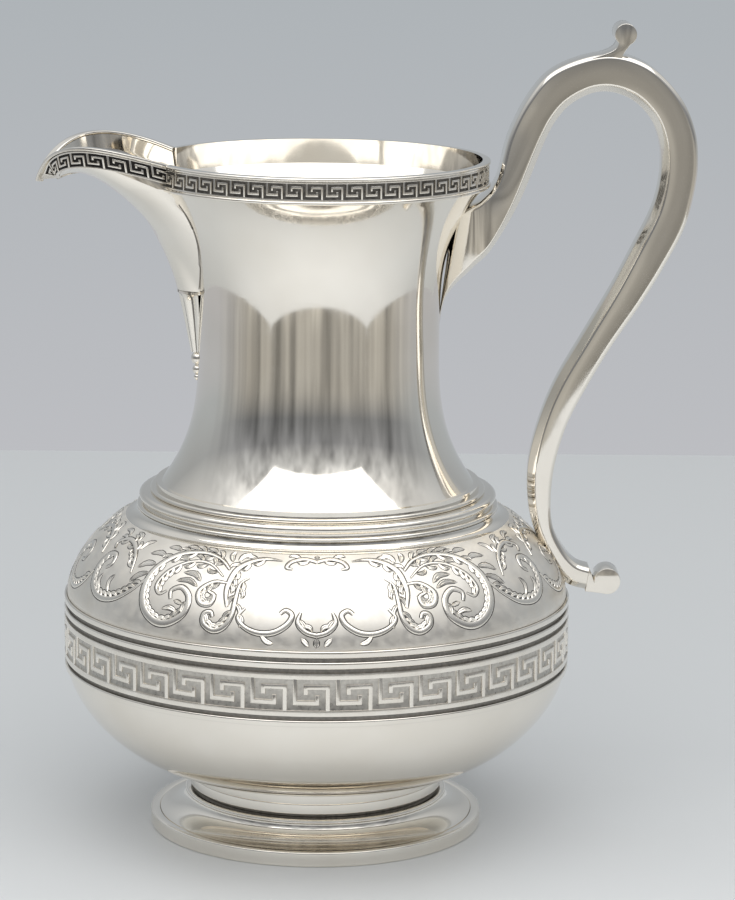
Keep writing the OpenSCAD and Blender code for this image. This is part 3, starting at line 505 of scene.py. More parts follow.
def hollow(foot_r, top_r, low, high, steps):
    """Quarter turn of a hollow curve, up from its foot."""
    turns = spread(0, QUARTER, steps)
    return [Vector((mix(foot_r, top_r, math.sin(a)), mix(high, low, math.cos(a)))) for a in turns]


def railed(height, rail, relief, ground):
    """Outline of a strip with a rail along both edges, as lengths up and out."""
    return [
        (0, 0), (0, relief), (rail, relief), (rail, ground), (height - rail, ground), (height - rail, relief),
        (height, relief), (height, 0),
    ]


def spun(bm, outline, start=0.0, sweep=TURN, closed=True):
    """Turns an outline of radius and height round the axis."""
    verts = [bm.verts.new((p.x * math.cos(start), p.x * math.sin(start), p.y)) for p in outline]
    follow = verts[1:] + verts[:1] if closed else verts[1:]
    edges = [bm.edges.new(pair) for pair in zip(verts, follow)]
    full = math.isclose(sweep, TURN)
    bmesh.ops.spin(
        bm, geom=verts + edges, cent=(0, 0, 0), axis=(0, 0, 1), dvec=(0, 0, 0), angle=sweep,
        steps=ROUND_STEPS, use_merge=full, use_duplicate=False,
    )
    bmesh.ops.remove_doubles(bm, verts=bm.verts, dist=SEAM)
    if not full:
        cap(bm)


def cap(bm):
    """Closes the open ends of a piece."""
    bmesh.ops.holes_fill(bm, edges=[e for e in bm.edges if e.is_boundary], sides=0)


def laid_grid(bm, across, along, place, paint=lambda column: 0):
    """Lays a grid of faces out by place(u, v), with u across and v along, both from 0 to 1.

    paint gives the number of the material for each column of faces.
    """
    verts = bmesh.ops.create_grid(bm, x_segments=across, y_segments=along, size=0.5)["verts"]
    for face in {face for vert in verts for face in vert.link_faces}:
        face.material_index = paint(int((face.calc_center_median().x + 0.5) * across))
    for vert in verts:
        vert.co = place(vert.co.x + 0.5, vert.co.y + 0.5)


def swept(bm, sections, paint=lambda column: 0):
    """Skin over closed sections of the same number of points, with closed ends."""
    across, along = len(sections[0]), len(sections) - 1
    laid_grid(bm, across, along, lambda u, v: sections[round(v * along)][round(u * across) % across], paint)
    bmesh.ops.remove_doubles(bm, verts=bm.verts, dist=SEAM)
    cap(bm)


def drawn_out(bm, faces, way):
    """Draws faces out into a solid."""
    grown = bmesh.ops.extrude_face_region(bm, geom=faces, use_keep_orig=True)
    moved = [part for part in grown["geom"] if isinstance(part, bmesh.types.BMVert)]
    bmesh.ops.translate(bm, vec=way, verts=moved)
    bmesh.ops.recalc_face_normals(bm, faces=bm.faces)


def rounded(bm, edges, radius, segments):
    bmesh.ops.bevel(
        bm, geom=edges, offset=radius, affect="EDGES", segments=segments, profile=0.5, material=-1,
        clamp_overlap=True,
    )


def tinted(bm, material, chosen):
    """Gives the material of that number to the faces that chosen(radius, level) picks by their middle."""
    for face in bm.faces:
        spot = face.calc_center_median()
        if chosen(spot.to_2d().length, spot.z):
            face.material_index = material


def finish_piece(name, bm, slot, *materials):
    """Makes the piece, in place of the CAD node of the same name."""
    bmesh.ops.remove_doubles(bm, verts=bm.verts, dist=SEAM)
    bmesh.ops.recalc_face_normals(bm, faces=bm.faces)
    for face in bm.faces:
        face.smooth = True
    for edge in bm.edges:
        edge.smooth = edge.calc_face_angle(0) < CRISP
    mesh = bpy.data.meshes.new(name)
    bm.to_mesh(mesh)
    bm.free()
    for material in materials:
        mesh.materials.append(material)
    piece = bpy.data.objects.new(name, mesh)
    bpy.context.scene.collection.objects.link(piece)
    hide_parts(name)
    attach(piece, "root")


def ring_piece(name, outline, material, start=0.0, sweep=TURN):
    bm = bmesh.new()
    spun(bm, outline, start, sweep)
    finish_piece(name, bm, "polished_silver", material)


# Materials


def add_node(tree, kind, inputs=(), **values):
    """Adds one node; inputs are pairs of socket and value, or of socket and the output that feeds it."""
    made = tree.nodes.new(kind)
    for key, value in values.items():
        setattr(made, key, value)
    for socket, value in inputs:
        if isinstance(value, bpy.types.NodeSocket):
            tree.links.new(value, made.inputs[socket])
        else:
            made.inputs[socket].default_value = value
    return made


def linear(code):
    """Colour from an sRGB hex code, as the linear light that shaders work in."""
    channels = [int(code[i:i + 2], 16) / 255 for i in (1, 3, 5)]
    return tuple(c / 12.92 if c <= 0.04045 else ((c + 0.055) / 1.055) ** 2.4 for c in channels)


def new_material(name):
    """Material with its nodes and shader; a material made before comes without them."""
    material = bpy.data.materials.get(name)
    if material:
        return material, None, None
    material = bpy.data.materials.new(name)
    material.use_nodes = True
    return material, material.node_tree, material.node_tree.nodes["Principled BSDF"]


def grain(tree, size, detail=3.0):
    """Cloudy pattern in object space, with spots of about the given size in metres."""
    place = add_node(tree, "ShaderNodeTexCoord").outputs["Object"]
    return add_node(
        tree, "ShaderNodeTexNoise", [("Vector", place), ("Scale", 1 / size), ("Detail", detail)]
    ).outputs["Fac"]


def ramp(tree, source, low, high, from_low=0.3, from_high=0.7):
    """Spreads a pattern between two numbers."""
    ends = [("From Min", from_low), ("From Max", from_high), ("To Min", low), ("To Max", high)]
    return add_node(tree, "ShaderNodeMapRange", [("Value", source), *ends]).outputs["Result"]


def blend(tree, share, first, second):
    """Mixes two colours, or two outputs that give colours, by a pattern."""
    node = add_node(tree, "ShaderNodeMix", data_type="RGBA")
    tree.links.new(share, node.inputs["Factor"])
    sockets = [s for s in node.inputs if s.type == "RGBA"]
    for socket, value in zip(sockets, (first, second)):
        if isinstance(value, bpy.types.NodeSocket):
            tree.links.new(value, socket)
        else:
            socket.default_value = (*value, 1)
    return next(s for s in node.outputs if s.type == "RGBA")


def worn_silver(finish, name, film, wear):
    """Silver with a warm film and an uneven polish.

    film is the size of its clouds and their strength, wear the size of its spots and the range of roughness.
    """
    material, tree, shader = new_material(name)
    if tree:
        shader.inputs["Metallic"].default_value = 1
        clouds = ramp(tree, grain(tree, film[0]), 0, film[1])
        tree.links.new(blend(tree, clouds, finish.silver, finish.tarnish), shader.inputs["Base Color"])
        rough = ramp(tree, grain(tree, wear[0]), finish.polish * wear[1], finish.polish * wear[2])
        tree.links.new(rough, shader.inputs["Roughness"])
    return material, tree, shader


def mirror_silver(finish):
    """Plain sheet and wires: a mirror that wavers a little, as on hand-raised sheet, with a warm film."""
    material, tree, shader = worn_silver(finish, "mirror_silver", (0.03, 0.22), (0.006, 0.7, 1.4))
    if tree:
        waver = add_node(
            tree, "ShaderNodeBump",
            [("Height", grain(tree, 0.022, 1.0)), ("Strength", 0.35), ("Distance", 0.06 * MM)],
        )
        tree.links.new(waver.outputs["Normal"], shader.inputs["Normal"])
    return material


def satin_silver(finish):
    """Raised keys and scrolls: a softer polish, so that their tops read bright from every side."""
    return worn_silver(finish, "satin_silver", (0.008, 0.25), (0.003, 2.2, 3.6))[0]


def shoulder_silver(finish):
    """Shoulder between the scrolls: dulled by the chasing, so that light spreads over it softly."""
    return worn_silver(finish, "shoulder_silver", (0.008, 0.25), (0.003, 4.4, 7.2))[0]


def matt_silver(finish, name):
    """Ground, line or groove left dark by the polisher and darkened further with painted shade: matt, with
    fine pits that break up its tone.
    """
    key, lighter, roughness = MATT_SILVERS[name]
    dark = getattr(finish, key)
    material, tree, shader = new_material(name)
    if tree:
        shader.inputs["Metallic"].default_value = 1
        pits = grain(tree, 0.0012)
        worn = tuple(min(c * lighter, 1) for c in dark)
        tree.links.new(blend(tree, ramp(tree, pits, 0, 1), dark, worn), shader.inputs["Base Color"])
        tree.links.new(ramp(tree, pits, roughness * 0.8, roughness * 1.2), shader.inputs["Roughness"])
    return material


# Walls and bands


def bowl_wall(sizes):
    """Outer side of the bowl, from the middle of its floor up to the seam behind the girdle."""
    belly_r, low, seam = outer("lower_bowl")
    girdle = outer("belly_lower_reed")[1]
    points = [Vector(share) for share in BOWL_SHARES]
    shares = [curve(points, t) for t in spread(0, 1, BOWL_STEPS)]
    wall = [Vector((mix(sizes.bowl_base_r, belly_r, s.x), mix(low, girdle, s.y))) for s in shares]
    return [Vector((0, low)), *wall, Vector((belly_r, seam))]


class ShoulderWall:
    """Outer face of the shoulder, with places on it by angle from the front and length up the wall."""

    def __init__(self):
        self.belly_r, self.seam, top = outer("shoulder_shell")
        top_r = outer("collar_cove")[0]
        self.low = outer("belly_upper_reed")[2]
        share = math.cos(SHOULDER_END) ** SHOULDER_POWER
        self.core_r = (top_r - self.belly_r * share) / (1 - share)
        self.full_h = (top - self.low) / math.sin(SHOULDER_END) ** SHOULDER_POWER
        self.points = [self.point(a) for a in spread(0, SHOULDER_END, SHOULDER_STEPS)]
        self.lengths = lengths_along(self.points)

    def point(self, turn):
        return Vector((
            mix(self.core_r, self.belly_r, math.cos(turn) ** SHOULDER_POWER),
            self.low + self.full_h * math.sin(turn) ** SHOULDER_POWER,
        ))

    def radius_at(self, z):
        share = max(0, min(1, (z - self.low) / self.full_h))
        return self.point(math.asin(share ** (1 / SHOULDER_POWER))).x

    def place(self, round_by, up, out):
        i, t = step_at(self.lengths, up)
        a, b = self.points[i - 1], self.points[i]
        before, after = self.points[max(i - 2, 0)], self.points[min(i + 1, len(self.points) - 1)]
        slope = mix((b - before).normalized(), (after - a).normalized(), t).normalized()
        spot = mix(a, b, t) + Vector((slope.y, -slope.x)) * out
        return Vector((spot.x * math.sin(round_by), -spot.x * math.cos(round_by), spot.y))


def neck_r_at(sizes, z):
    """Outer radius of the neck at a level."""
    top_r = outer("neck_shell")[0]
    low, high = outer("collar_upper_bead")[2], outer("rim_lower_wire")[1]
    waist = mix(low, high, NECK_WAIST_SHARE)
    if z < waist:
        end_r, share = sizes.neck_base_r, ((waist - max(z, low)) / (waist - low)) ** NECK_POWERS[0]
    else:
        end_r, share = top_r, ((min(z, high) - waist) / (high - waist)) ** NECK_POWERS[1]
    return mix(sizes.neck_waist_r, end_r, share)


def key_hook(sizes, pitch, field, rail, relief, ground):
    """One flat hook of the key pattern, down from a rail, along and up again, to be laid out many times."""
    u = [(share - HOOK_MIDDLE) * pitch for share in HOOK_U]
    v = [(0.5 - share) * field for share in HOOK_V]
    top, height = v[0] + rail / 2, relief - ground * HOOK_LESS
    outline = [
        (u[0], top), (u[1], top), (u[1], v[2]), (u[2], v[2]), (u[2], v[1]), (u[3], v[1]), (u[3], v[3]),
        (u[0], v[3]),
    ]
    bm = bmesh.new()
    bm.faces.new([bm.verts.new((x, y, 0)) for x, y in outline])
    for spot, way in (((u[1], 0, 0), (1, 0, 0)), ((u[2], 0, 0), (1, 0, 0)), ((0, v[2], 0), (0, 1, 0))):
        bmesh.ops.bisect_plane(
            bm, geom=[*bm.verts, *bm.edges, *bm.faces], dist=SEAM, plane_co=spot, plane_no=way
        )
    drawn_out(bm, bm.faces[:], (0, 0, height))
    upper = [e for e in bm.edges if min(p.co.z for p in e.verts) > height / 2]
    brim = [e for e in upper if e.calc_face_angle(0) > HOOK_BRIM]
    rounded(bm, brim, min(sizes.ease, pitch * HOOK_EASE), 2)
    for face in bm.faces:
        face.material_index = 1
    mesh = bpy.data.meshes.new("key_hook")
    bm.to_mesh(mesh)
    bm.free()
    return mesh


def lay_hooks(bm, hook, count, place):
    """Adds pairs of interlocking hooks by place(share of the row, length along, length up, height)."""
    for i in range(count):
        for turn in (1, -1):
            laid = hook.copy()
            for vert in laid.vertices:
                vert.co = place((i + 0.5) / count, turn * vert.co.x, turn * vert.co.y, vert.co.z)
            bm.from_mesh(laid)
            bpy.data.meshes.remove(laid)
    bpy.data.meshes.remove(hook)


def key_band(name, wall, ground_name, sizes, finish, rail, ground, count, start, sweep):
    """Railed strip with its raised keys, round the axis on the wall of a CAD node."""
    outer_r, low, high = outer(name)
    inner_r = outer(wall)[0]
    relief, height, middle = outer_r - inner_r, high - low, (low + high) / 2
    strip = [(inner_r + out, low + up) for up, out in railed(height, rail, relief, ground)]
    bm = bmesh.new()
    spun(bm, eased(strip, min(sizes.ease, rail / 4) / 2, steps=2), start, sweep)

    def beside_ground(radius, z):
        in_field = low + rail < z < high - rail
        return not in_field or not ground * GROUND_FROM < radius - inner_r < mix(ground, relief, GROUND_TO)

    # Faces off the ground take the satin silver; the ground keeps its dark matt silver with painted shade
    tinted(bm, 1, beside_ground)
    hook = key_hook(sizes, outer_r * sweep / count, height - 2 * rail, rail, relief, ground)

    def on_wall(share, along, up, out):
        a = start + share * sweep + along / outer_r
        radius = inner_r + ground * HOOK_FOOT + out
        return Vector((radius * math.cos(a), radius * math.sin(a), middle + up))

    lay_hooks(bm, hook, count, on_wall)
    finish_piece(name, bm, "oxidised_silver", matt_silver(finish, ground_name), satin_silver(finish))


class Spout:
    """Spout sheet between its seam on the neck and its free edge.

    e runs round it from -1 at one root over 0 at the tip to 1 at the other root, and s from seam to edge.
    """

    def __init__(self, sizes):
        self.sizes = sizes
        self.rim_r = outer("neck_shell")[0]
        self.lip_z = outer("rim_lip_wire")[1]
        half = sizes.spout_half_angle
        self.root = Vector((-self.rim_r * math.cos(half), self.rim_r * math.sin(half), self.lip_z))
        self.tip = Vector((-sizes.spout_reach, 0, self.lip_z - TIP_DROP))
        self.run = sizes.spout_reach + self.root.x
        self.toe_z = outer("spout_drop")[2] + SEAM_SINK
        self.seam_z = outer("rim_lower_wire")[1] - SEAM_DROP
        self.toe_half_w = cad_box("spout_drop")[1].y
        toe_r = neck_r_at(sizes, self.toe_z)
        self.toe_back = math.sqrt(toe_r**2 - self.toe_half_w**2) - SEAM_SINK
        self.toe_front = toe_r + TOE_OUT
        self.toe_angle = math.atan2(self.toe_half_w, self.toe_back)
        self.places = spread(BAND_START, 1, BAND_MEASURES)
        self.lengths = lengths_along([self.edge(e) for e in self.places])

    def sided(self, point, e):
        return Vector((point.x, math.copysign(point.y, e), point.z))

    def aside(self, e, power):
        """Grows from 0 at the tip to 1 at the roots, the sooner the higher the power."""
        return 1 - (1 - e * e) ** power

    def edge(self, e):
        """Point on the free edge."""
        beside_root = self.root + ROOT_HANDLE - Vector((self.run * ROOT_HANDLE_RUN, 0, 0))
        return self.sided(curve((self.tip, self.tip + TIP_HANDLE, beside_root, self.root), abs(e)), e)

    def edge_run(self, e):
        return self.edge(min(e + EDGE_STEP, 1)) - self.edge(max(e - EDGE_STEP, -1))

    def edge_out(self, e):
        """Level way out from the edge."""
        run = self.edge_run(e)
        return Vector((-run.y, run.x, 0)).normalized()

    def seam(self, e):
        """Point on the seam: round the toe, then up along the neck."""
        low_z = self.toe_z - SEAM_SINK
        if abs(e) < TOE_SHARE:
            a = QUARTER * abs(e) / TOE_SHARE
            x = -mix(self.toe_back, self.toe_front, math.cos(a))
            return self.sided(Vector((x, self.toe_half_w * math.sin(a), low_z)), e)
        w = (abs(e) - TOE_SHARE) / (1 - TOE_SHARE)
        z = mix(low_z, self.seam_z, w)
        a = mix(self.toe_angle, self.sizes.spout_half_angle, w) + SEAM_SWING * math.sin(math.pi * w)
        r = neck_r_at(self.sizes, z) - SEAM_SINK
        return self.sided(Vector((-r * math.cos(a), r * math.sin(a), z)), e)

    def point(self, s, e):
        """Point on the sheet: its upper part is the upright edge that carries the key band."""
        up = 1 - (1 - s) / FLANGE_SHARE
        if up > 0:
            return self.flange(e, (1 - up) * self.sizes.spout_band_h)
        low, top = self.seam(e), self.flange(e, self.sizes.spout_band_h)
        beside = [self.seam(max(-1, min(1, e + step))) for step in SEAM_BESIDE]
        above_low = sum(beside, Vector()) / len(beside)
        third = (top - low) / 3
        depth = self.lip_z - self.toe_z
        over_toe = Vector((self.run * OVER_TOE[0], 0, depth * OVER_TOE[1]))
        behind_tip = Vector((self.run * BEHIND_TIP[0], 0, depth * BEHIND_TIP[1]))
        under_edge = STAND * min(third.z, STAND_MOST)
        swing = 1 + FLARE_SWING * abs(e) ** FLARE_POWER
        with_flare = Vector((third.x * swing, third.y * swing, third.z))
        lower = above_low + mix(over_toe, with_flare, abs(e))
        upper = top + mix(behind_tip, under_edge, self.aside(e, STAND_POWER))
        return curve((low, lower, upper, top), s / (1 - FLANGE_SHARE))

    def flange(self, e, down, distance=0.0):
        """Point on the upright edge, by its length down from the lip and its distance out."""
        way = mix(FLANGE_TIP, FLANGE_SIDE, self.aside(e, FLANGE_POWER)).normalized()
        return self.edge(e) + way * down + self.edge_run(e).cross(way).normalized() * distance

    def band(self, along, down, distance, side):
        """Point on the key band: share along it from tip to root, and length down it from the edge."""
        i, t = step_at(self.lengths, max(0, min(1, along)) * self.lengths[-1])
        return self.flange(side * mix(self.places[i - 1], self.places[i], t), down, distance)


# Operators


class EWER_OT_foot(bpy.types.Operator):
    """Makes the foot: base wire, hollow curve, bead and the two collar rings"""

    bl_idname = "ewer.foot"
    bl_label = "Foot"

    def execute(self, context):
        sizes, finish = settings(context)
        silver, groove = mirror_silver(finish), matt_silver(finish, "groove_tarnish")
        foot_r, low, edge_z = outer("foot_rim")
        dome_r, _, bead_z = outer("foot_dome")
        bead_r, _, bead_top = outer("foot_bead")
        collar_r, _, collar_top = outer("foot_collar_lower")
        upper_r, _, bowl_z = outer("foot_collar_upper")
        ring_piece("foot_rim", boxed(dome_r, foot_r, low, edge_z, sizes.ease * 2), silver)
        dome = hollow(dome_r, collar_r, edge_z, bead_z, FOOT_STEPS)
        ring_piece("foot_dome", dome + inner_side(dome, sizes.wall)[::-1], silver)
        neck_r = bead_r - FOOT_RECESS
        ring_piece("foot_bead", half_round(neck_r - sizes.wall, bead_r, bead_z, bead_top), silver)
        inner_r, band_z = neck_r - 2 * sizes.wall, bead_top + FOOT_RECESS_H
        lower = [
            (inner_r, bead_top), (neck_r, bead_top), (neck_r, band_z), (collar_r, band_z),
            (collar_r, collar_top), (inner_r, collar_top),
        ]
        bm = bmesh.new()
        spun(bm, eased(lower, sizes.ease))
        # Painted shade: the recess under the collar's band takes the dark groove material
        tinted(bm, 1, lambda radius, z: z < band_z + sizes.ease / 2 and neck_r - sizes.ease < radius)
        finish_piece("foot_collar_lower", bm, "polished_silver", silver, groove)
        ring_piece("foot_collar_upper", boxed(inner_r, upper_r, collar_top, bowl_z, sizes.ease), silver)
        return {"FINISHED"}


class EWER_OT_body(bpy.types.Operator):
    """Makes the bowl and the shoulder with its chased scrolls"""

    bl_idname = "ewer.body"
    bl_label = "Body"

    def execute(self, context):
        sizes, finish = settings(context)
        groove = matt_silver(finish, "groove_tarnish")
        shoulder = ShoulderWall()
        bm = self.shell(sizes, shoulder, bowl_wall(sizes), 1)
        finish_piece("lower_bowl", bm, "polished_silver", mirror_silver(finish), groove)
        strokes, leaf = [], (LEAF_SECTION, LEAF_STEPS)
        for points, widths in SCROLLS:
            strokes.append((points, widths, SCROLL_SECTION, SCROLL_STEPS))
            strokes += [(lobe, LOBE_WIDTHS, *leaf) for lobe in self.lobes(shoulder, points)]
        strokes += [(points, (LEAF_END, width, LEAF_END), *leaf) for width, points in LEAVES]
        wall = [Vector((shoulder.belly_r, shoulder.seam)), *shoulder.points]
        bm = self.shell(sizes, shoulder, wall, 3)
        for turn, way in ((0, 1), (0, -1), (math.pi, 1), (math.pi, -1)):
            for stroke in strokes:
                self.stroke(bm, shoulder, sizes, turn, way, *stroke)
        finish_piece(
            "shoulder_shell", bm, "chased_silver", shoulder_silver(finish), satin_silver(finish),
            matt_silver(finish, "chased_line"), groove,
        )
        return {"FINISHED"}

    def shell(self, sizes, shoulder, wall, groove):
        """Sheet along a wall, with the material of that number, tarnish with painted shade, where it shows
        between the girdle's reeds.
        """
        bm = bmesh.new()
        spun(bm, wall + inner_side(wall, sizes.wall)[::-1])
        girdle, least_r = outer("belly_lower_reed")[1], shoulder.belly_r - sizes.wall / 10
        tinted(bm, groove, lambda radius, z: girdle < z < shoulder.low and radius > least_r)
        return bm

    def lobes(self, shoulder, points):
        """Leaf lobes that fill a scroll from its inner side and crown it, as points like the scroll's own."""
        run = through([Vector((math.radians(p[0]), p[1] * MM)) for p in points], LOBE_POINTS)
        from_angle, to_angle, from_up, to_up = LOBE_FIELD
        plain_to, plain_low, plain_high = CARTOUCHE
        leaves, gone = [], 0.0
        for i in range(2, round(len(run) * LOBE_PART)):
            scale = Vector((shoulder.place(0, run[i].y, 0).to_2d().length, 1))
            ahead = ((run[i + 1] - run[i - 1]) * scale).normalized()
            inwards = (run[i + 1] + run[i - 1] - run[i] * 2) * scale
            gone += ((run[i] - run[i - 1]) * scale).length
            if gone < LOBE_STEP:
                continue
            gone = 0.0
            side = Vector((-ahead.y, ahead.x))
            crowning = run[i].y > LOBE_CROWN and len(leaves) % 2
            if side.dot(inwards) > 0 if crowning else side.dot(inwards) < 0:
                side.negate()
            spots = [run[i] * scale + (side * out + ahead * on) * MM for out, on in LOBE]
            leaf = [(math.degrees(spot.x / scale.x), spot.y / MM) for spot in spots]
            end_angle, end_up = leaf[-1]
            in_cartouche = end_angle < plain_to and plain_low < end_up < plain_high
            if from_up < end_up < to_up and from_angle < end_angle < to_angle and not in_cartouche:
                leaves.append(leaf)
        return leaves

    def stroke(self, bm, shoulder, sizes, turn, way, points, widths, half, steps):
        """Lays one raised stroke with a dark line along both sides, by its half section."""
        run = through([Vector((math.radians(p[0]), p[1] * MM)) for p in points], steps)
        count = len(run) - 1
        sides = []
        for i, spot in enumerate(run):
            ahead = run[min(i + 1, count)] - run[max(i - 1, 0)]
            radius = shoulder.place(0, spot.y, 0).to_2d().length
            ahead = Vector((ahead.x * radius, ahead.y)).normalized()
            sides.append(Vector((-ahead.y / radius, ahead.x)))
        section = [*half, *((-share, -lines, height) for share, lines, height in half[-2::-1])]
        last = len(section) - 1

        def place(u, v):
            share, lines, height = section[round(u * last)]
            i = round(v * count)
            end = widths[0] if i / count < 0.5 else widths[2]
            width = mix(end, widths[1], math.sin(math.pi * i / count)) * MM
            line = sizes.chase_line * min(1, width / LINE_FULL_W)
            spot = run[i] + sides[i] * (share * width + lines * line)
            return shoulder.place(turn + way * spot.x, spot.y, height * sizes.chase_lift)

        # Dark lines, oxide with painted shade of the chased grooves, fill the two columns at each side
        laid_grid(bm, last, count, place, lambda column: 2 if min(column, last - 1 - column) < 2 else 1)


class EWER_OT_girdle(bpy.types.Operator):
    """Makes the girdle: the belly's key band and its three reeds"""

    bl_idname = "ewer.girdle"
    bl_label = "Girdle"

    def execute(self, context):
        sizes, finish = settings(context)
        wall_r = outer("lower_bowl")[0]
        for name in ("belly_lower_reed", "belly_middle_reed", "belly_upper_reed"):
            reed_r, low, high = outer(name)
            ring_piece(name, boxed(wall_r, reed_r, low, high, sizes.ease * 1.6), mirror_silver(finish))
        key_band(
            "belly_key_band", "lower_bowl", "belly_ground", sizes, finish, sizes.belly_rail_h,
            sizes.belly_ground_t, sizes.belly_keys, sizes.belly_key_turn - QUARTER, TURN,
        )
        return {"FINISHED"}


class EWER_OT_collar(bpy.types.Operator):
    """Makes the collar between shoulder and neck: hollow curve, roll and bead"""

    bl_idname = "ewer.collar"
    bl_label = "Collar"

    def execute(self, context):
        sizes, finish = settings(context)
        silver, neck_r = mirror_silver(finish), sizes.neck_base_r
        foot_r, low, top = outer("collar_cove")
        roll_r, _, roll_top = outer("collar_roll")
        bead_r, _, neck_z = outer("collar_upper_bead")
        bead_low, cove_r = top - COVE_BEAD_H, roll_r + COVE_STEP
        cove = hollow(foot_r, cove_r, low, bead_low, COVE_STEPS)
        bead = half_round(neck_r, cove_r + COVE_STEP, bead_low, top)
        ring_piece("collar_cove", [Vector((neck_r, low)), *cove, *bead[1:]], silver)
        roll = half_round(neck_r, roll_r, top + ROLL_GROOVE_H, roll_top)
        roll[:1] = [Vector((neck_r, top)), Vector((roll_r - ROLL_GROOVE, top))]
        ring_piece("collar_roll", roll, silver)
        bead_top, groove_r = roll_top + SLIM_BEAD_H, (neck_r + bead_r) / 2
        bead = half_round(neck_r, bead_r, roll_top, bead_top)
        bead[-1:] = [Vector(p) for p in ((groove_r, bead_top), (groove_r, neck_z), (neck_r, neck_z))]
        ring_piece("collar_upper_bead", bead, silver)
        return {"FINISHED"}


class EWER_OT_neck(bpy.types.Operator):
    """Makes the neck, cut open behind the spout, with the wires and the key band of its rim"""

    bl_idname = "ewer.neck"
    bl_label = "Neck and rim"

    def execute(self, context):
        sizes, finish = settings(context)
        silver = mirror_silver(finish)
        self.shell(sizes, silver)
        half = sizes.spout_half_angle
        arc = {"start": math.pi + half, "sweep": TURN - 2 * half}
        wall_r = outer("neck_shell")[0]
        # The lower wire reaches half way into the neck's sheet, the lip right through it
        for name, share in (("rim_lower_wire", 0.5), ("rim_lip_wire", 1)):
            ring_piece(name, half_round(wall_r - sizes.wall * share, *outer(name)), silver, **arc)
        key_band(
            "rim_key_band", "neck_shell", "rim_ground", sizes, finish, sizes.rim_rail_h, sizes.rim_ground_t,
            sizes.rim_keys, **arc,
        )
        return {"FINISHED"}

    def shell(self, sizes, silver):
        _, low, top = outer("neck_shell")
        base, rim = outer("collar_upper_bead")[2], outer("rim_lower_wire")[1]
        wall = [Vector((neck_r_at(sizes, z), z)) for z in spread(base, rim, NECK_STEPS)]
        wall = [Vector((sizes.neck_base_r, low)), *wall, Vector((wall[-1].x, top))]
        bm = bmesh.new()
        spun(bm, wall, closed=False)
        bmesh.ops.recalc_face_normals(bm, faces=bm.faces)
        spout = Spout(sizes)
        half, margin = sizes.spout_half_angle, 2 * sizes.wall
        low_z, low_w = spout.toe_z + margin, spout.toe_half_w - margin
        top_w = neck_r_at(sizes, spout.seam_z) * math.sin(half) - margin
        slope = Vector((0, spout.seam_z - low_z, low_w - top_w)).normalized()
        cuts = [((0, 0, spout.seam_z), (0, 0, 1)), ((0, 0, low_z), (0, 0, 1))]
        cuts += [((0, side * low_w, low_z), (0, side * slope.y, slope.z)) for side in (1, -1)]
        cuts += [((0, 0, 0), (math.sin(half), side * math.cos(half), 0)) for side in (1, -1)]
        for spot, way in cuts:
            near = [f for f in bm.faces if f.calc_center_median().x < 0]
            parts = {part for face in near for part in (face, *face.edges, *face.verts)}
            bmesh.ops.bisect_plane(bm, geom=list(parts), dist=SEAM, plane_co=spot, plane_no=way)

        def in_opening(face):
            spot = face.calc_center_median()
            if spot.x > 0 or spot.z < low_z:
                return False
            if spot.z > spout.seam_z:
                return abs(math.atan2(spot.y, -spot.x)) < half
            return abs(spot.y) < mix(low_w, top_w, (spot.z - low_z) / (spout.seam_z - low_z))

        bmesh.ops.delete(bm, geom=[f for f in bm.faces if in_opening(f)], context="FACES")
        bmesh.ops.solidify(bm, geom=bm.faces[:], thickness=sizes.wall)
        finish_piece("neck_shell", bm, "polished_silver", silver)


